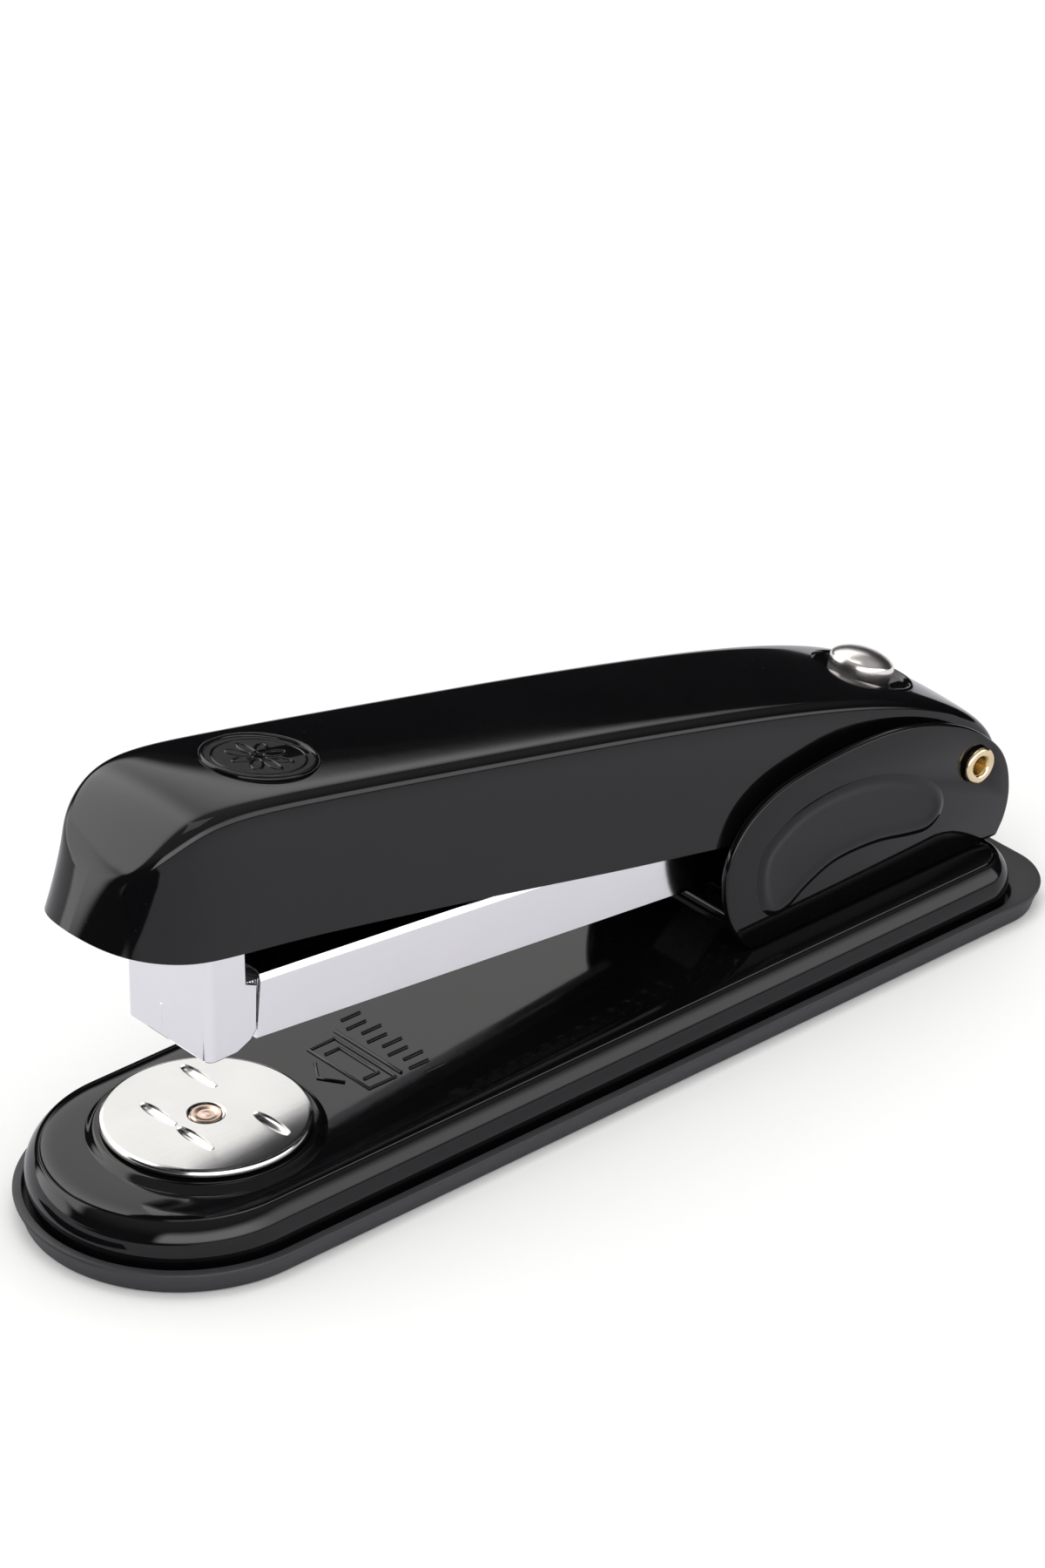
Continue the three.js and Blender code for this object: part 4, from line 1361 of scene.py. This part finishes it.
    def dish(self, seat: Matrix) -> None:
        """The round recess in which the button stands."""
        corners_mm = [
            (4.75, -2.1), (4.75, -1.35), (6.7, -0.55), (7.15, 0.18), (7.75, 0.02), (7.8, -0.4), (7.3, -0.9),
        ]
        line = round_corners(corners_mm, 0.3)
        made = lathe("button_dish", [*line, line[0]], (0.0, 0.0, 0.0), segments=96, smooth_deg=60)
        made.data.transform(seat)
        self.shop.dress(made, "cover", ENAMEL)

    def button(self, seat: Matrix) -> None:
        """The chromed release button with its stem, clip, guide cup and spring."""
        corners_mm = [
            (0.0, -1.6), (4.25, -1.6), (4.35, -1.4), (4.5, 1.3), (4.35, 1.85), (3.6, 2.4), (2.5, 2.85),
            (1.2, 3.1), (0.0, 3.16),
        ]
        line = round_corners(corners_mm, 0.6)
        cap = lathe("button_cap_turned", line, (0.0, 0.0, 0.0), segments=96, smooth_deg=60)
        cap.data.transform(seat)
        self.shop.dress(cap, "button", BUTTON_CHROME_PAINTED_REFLECTION, "button_cap")
        self.shop.refine("button_stem", "button", STEEL, 0.12)
        self.shop.refine("stem_clip", "button", SPRING_STEEL, 0.05)
        self.shop.refine("button_guide", "cover", STEEL, 0.1)
        made = bpy.data.objects.new("button_spring_coil", bpy.data.meshes.new("button_spring_coil"))
        bpy.context.scene.collection.objects.link(made)
        sizes = {"Radius": 3.2 * MM, "Height": 2.8 * MM, "Wire": 0.25 * MM}
        self.shop.coil.run(made, self.shop.material(SPRING_STEEL), Turns=3.5, **sizes)
        made.data.transform(seat @ Matrix.Translation((0, 0, -4.95 * MM)))
        self.shop.dress(made, "cover", SPRING_STEEL, "button_spring")
        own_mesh(made)

    def emblem(self) -> None:
        """A plain oval badge pressed in the roof: a rim, a fine inner line and a rosette."""
        around = np.linspace(0, 2 * math.pi, 72, endpoint=False)
        rim = [(6.6 * math.cos(a), 7.8 * math.sin(a), 0.0) for a in around]
        fine = [(5.3 * math.cos(a), 6.5 * math.sin(a), -0.05) for a in around]
        turns = np.linspace(0, 2 * math.pi, 20, endpoint=False)
        petal = [(0.9 + 1.7 * (1 - math.cos(a)), 0.75 * math.sin(a), 0.0) for a in turns]
        leaf = self.shop.path("petal", petal, 0.24, ENAMEL, closed=True)
        self.shop.circle.run(leaf, self.shop.material(ENAMEL), Count=8)
        pieces = [
            self.shop.path("badge_rim", rim, 0.4, ENAMEL, closed=True),
            self.shop.path("badge_line", fine, 0.22, ENAMEL, closed=True),
            leaf,
        ]
        badge = merge("roof_badge", pieces)
        slope = math.atan2(60.5 - 58.3, -46.9 + 36.2)
        middle = Matrix.Translation(Vector((0.0, -44.2, 60.3)) * MM)
        place = middle @ Matrix.Rotation(slope + math.pi, 4, "X")
        badge.data.transform(place)
        self.shop.dress(badge, "cover", ENAMEL)
        oval = [(6.5 * math.cos(a), 7.7 * math.sin(a)) for a in around]
        ground = slab("badge_ground", oval, -0.6, 0.06, Axis.Z)
        ground.data.transform(place)
        self.shop.dress(ground, "cover", GRAINED_ENAMEL)


# ---------------------------------------------------------------- studio


@dataclass
class Studio:
    """The pale floor, the soft light and the camera."""

    azimuth: float = 48.84
    elevation: float = 30.07
    distance: float = 0.9302
    lens: float = 156.0
    target_shift: Point = (-0.0323, 0.0276, -0.0166)
    sky: float = 1.18
    haze: float = 0.03
    fill: float = 0.35
    left_box: float = 1.45
    front_box: float = 3.2
    right_box: float = 2.4
    right_front_box: float = 4.2
    edge_box: float = 2.9
    card_level: float = 0.0004

    def floor(self) -> None:
        """Lays a wide pale floor, which reflections see in a dimmer, bluish colour: a painted reflection tone."""
        mesh = bpy.data.meshes.new("floor")
        mesh.from_pydata([(-6, -6, 0), (6, -6, 0), (6, 6, 0), (-6, 6, 0)], [], [(0, 1, 2, 3)])
        made = bpy.data.objects.new("floor", mesh)
        bpy.context.scene.collection.objects.link(made)
        material = bpy.data.materials.new("pale_floor")
        material.use_nodes = True
        tree = material.node_tree
        shader = tree.nodes["Principled BSDF"]
        shader.inputs["Roughness"].default_value = 0.9
        shader.inputs["Specular IOR Level"].default_value = 0.1
        place = tree.nodes.new("ShaderNodeTexCoord")
        noise = add_node(tree, "ShaderNodeTexNoise", Scale=3.0, Detail=2.0)
        tree.links.new(place.outputs["Object"], noise.inputs["Vector"])
        mix = tree.nodes.new("ShaderNodeMix")
        mix.data_type = "RGBA"
        mix.inputs[6].default_value = (0.955, 0.955, 0.955, 1)
        mix.inputs[7].default_value = (0.965, 0.965, 0.965, 1)
        tree.links.new(noise.outputs["Fac"], mix.inputs[0])
        # Reflecting rays see the floor in a dimmer, bluish colour: a painted reflection tone.
        path = tree.nodes.new("ShaderNodeLightPath")
        painted_reflection_tint = tree.nodes.new("ShaderNodeMix")
        painted_reflection_tint.data_type = "RGBA"
        painted_reflection_tint.inputs[7].default_value = (0.765, 0.755, 0.80, 1)
        tree.links.new(path.outputs["Is Glossy Ray"], painted_reflection_tint.inputs[0])
        tree.links.new(mix.outputs[2], painted_reflection_tint.inputs[6])
        tree.links.new(painted_reflection_tint.outputs[2], shader.inputs["Base Color"])
        made.data.materials.append(material)
        made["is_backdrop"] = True

    @staticmethod
    def ramp(tree: bpy.types.NodeTree, value: bpy.types.NodeSocket, start: float, end: float,
             low: float = 0.0, high: float = 1.0) -> bpy.types.NodeSocket:
        """A smooth step between two values.

        Args:
            tree: The node tree.
            value: The socket that is stepped.
            start: Where the step starts.
            end: Where it ends.
            low: The result before the step.
            high: The result after it.

        Returns:
            The result's socket.
        """
        node = tree.nodes.new("ShaderNodeMapRange")
        node.interpolation_type = "SMOOTHSTEP"
        for label, number in {"From Min": start, "From Max": end, "To Min": low, "To Max": high}.items():
            node.inputs[label].default_value = number
        tree.links.new(value, node.inputs["Value"])
        return node.outputs[0]

    def panel(self, tree: bpy.types.NodeTree, place: bpy.types.NodeSocket, way: Point, wide: float,
              tight: float, strength: float) -> bpy.types.NodeSocket:
        """A soft round light in the sky.

        Args:
            tree: The world's node tree.
            place: The direction socket.
            way: The light's direction.
            wide: The cosine where it begins to show.
            tight: The cosine where it is full.
            strength: Its brightness.

        Returns:
            Its brightness as a socket.
        """
        toward = tree.nodes.new("ShaderNodeVectorMath")
        toward.operation = "DOT_PRODUCT"
        toward.inputs[1].default_value = Vector(way).normalized()
        tree.links.new(place, toward.inputs[0])
        return self.ramp(tree, toward.outputs["Value"], wide, tight, 0.0, strength)

    def world(self) -> None:
        """Makes the sky: an even one that lights the scene, and soft boxes that only the gloss sees."""
        world = bpy.data.worlds.new("studio")
        bpy.context.scene.world = world
        world.use_nodes = True
        tree = world.node_tree
        back = tree.nodes["Background"]
        place = tree.nodes.new("ShaderNodeTexCoord").outputs["Generated"]
        parts = tree.nodes.new("ShaderNodeSeparateXYZ")
        tree.links.new(place, parts.inputs[0])
        x, y, z = parts.outputs
        even = self.ramp(tree, z, 0.29, 0.40, self.haze, self.sky)
        rise = self.ramp(tree, z, 0.29, 0.40)
        left = self.ramp(tree, x, -0.38, -0.52)
        front = self.ramp(tree, y, 0.46, 0.12, self.left_box, self.front_box)
        boxed = add_math(tree, "MULTIPLY", add_math(tree, "MULTIPLY", rise, left), front)
        filled = add_math(tree, "MAXIMUM", boxed, self.ramp(tree, z, 0.30, 0.75, self.haze, self.fill))
        beside = self.ramp(tree, x, 0.47, 0.60)
        band = add_math(tree, "MULTIPLY", self.ramp(tree, z, 0.00, 0.12), self.ramp(tree, z, 0.60, 0.34))
        along = self.ramp(tree, y, 0.0, 0.5, self.right_front_box, self.right_box)
        right = add_math(tree, "MULTIPLY", add_math(tree, "MULTIPLY", beside, band), along)
        edge = self.panel(tree, place, (-0.82, -0.56, 0.08), 0.90, 0.96, self.edge_box)
        gloss = add_math(tree, "MAXIMUM", filled, add_math(tree, "MAXIMUM", right, edge))
        path = tree.nodes.new("ShaderNodeLightPath")
        value = even
        for ray, other in (("Is Glossy Ray", gloss), ("Is Camera Ray", 1.0)):
            seen = tree.nodes.new("ShaderNodeMix")
            seen.data_type = "FLOAT"
            tree.links.new(path.outputs[ray], seen.inputs[0])
            tree.links.new(value, seen.inputs[2])
            if isinstance(other, float):
                seen.inputs[3].default_value = other
            else:
                tree.links.new(other, seen.inputs[3])
            value = seen.outputs[0]
        tree.links.new(value, back.inputs["Strength"])
        back.inputs["Color"].default_value = (1.0, 0.995, 0.985, 1)

    def flag(self, name: str, corners_m: list[Point]) -> None:
        """Hangs a dark card that only reflections see.

        Args:
            name: The card's name.
            corners_m: Its four corners in metres.
        """
        mesh = bpy.data.meshes.new(name)
        mesh.from_pydata(corners_m, [], [(0, 1, 2, 3)])
        made = bpy.data.objects.new(name, mesh)
        bpy.context.scene.collection.objects.link(made)
        material = bpy.data.materials.new(name)
        material.use_nodes = True
        shader = material.node_tree.nodes["Principled BSDF"]
        shader.inputs["Base Color"].default_value = (0.012, 0.012, 0.013, 1)
        shader.inputs["Roughness"].default_value = 1.0
        shader.inputs["Specular IOR Level"].default_value = 0.0
        made.data.materials.append(material)
        made.visible_camera = made.visible_diffuse = made.visible_shadow = False
        made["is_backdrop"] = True

    def lamp(self, name: str, direction: Point, distance: float, size: float, radiance: float,
             in_gloss: bool) -> None:
        """A square soft lamp that points at the stapler.

        Args:
            name: The lamp's name.
            direction: Where it stands, seen from the stapler.
            distance: How far away.
            size: Its side in metres.
            radiance: Its brightness.
            in_gloss: Whether reflections see it.
        """
        data = bpy.data.lights.new(name, "AREA")
        data.shape = "SQUARE"
        data.size = size
        data.energy = radiance * math.pi * size**2
        made = bpy.data.objects.new(name, data)
        way = Vector(direction).normalized()
        made.location = way * distance
        made.rotation_euler = way.to_track_quat("Z", "Y").to_euler()
        made.visible_glossy = in_gloss
        bpy.context.scene.collection.objects.link(made)

    def camera(self) -> None:
        """Sets the camera up."""
        low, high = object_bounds()
        target = (Vector(low) + Vector(high)) / 2 + Vector(self.target_shift)
        a, e = math.radians(self.azimuth), math.radians(self.elevation)
        back = Vector((math.sin(a) * math.cos(e), -math.cos(a) * math.cos(e), math.sin(e)))
        data = bpy.data.cameras.new("camera")
        data.sensor_fit = "VERTICAL"
        data.sensor_height = 36.0
        data.lens = self.lens
        data.clip_end = 50.0
        made = bpy.data.objects.new("camera", data)
        made.location = target + back * self.distance
        made.rotation_euler = back.to_track_quat("Z", "Y").to_euler()
        bpy.context.scene.collection.objects.link(made)
        bpy.context.scene.camera = made

    def build(self) -> None:
        """Builds the studio."""
        bpy.context.scene.view_settings.view_transform = "Standard"
        self.camera()
        self.floor()
        self.world()
        self.flag("back_flag", [(-0.75, 0.10, 0), (0.25, 0.62, 0), (0.25, 0.62, 0.19), (-0.75, 0.10, 0.19)])
        lying = {
            "near_flag": [(-0.024, -0.095), (0.013, -0.095), (0.012, -0.084), (-0.022, -0.084)],
            "front_flag": [(-0.70, -5.9), (5.6, -5.9), (0.150, -0.135), (-0.030, -0.135)],
        }
        for name, flat in lying.items():
            self.flag(name, [(x, y, self.card_level) for x, y in flat])
        self.lamp("front_right_softbox", (0.34, -0.80, 0.50), 1.2, 0.30, 6.0, in_gloss=False)
        self.lamp("overhead_softbox", (-0.1, 0.1, 1.0), 1.4, 0.7, 1.2, in_gloss=True)


def main() -> None:
    """Builds the stapler and the studio."""
    logging.basicConfig(level=logging.INFO, format="%(name)s: %(message)s")
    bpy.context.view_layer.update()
    for make in (mottle_group, hairline_group, dust_group):
        make()
    Studio().build()
    shop = Workshop()
    for part in (Base(shop), Anvil(shop), Bracket(shop), Magazine(shop), Cover(shop)):
        part.build()


if __name__ == "__main__":
    main()
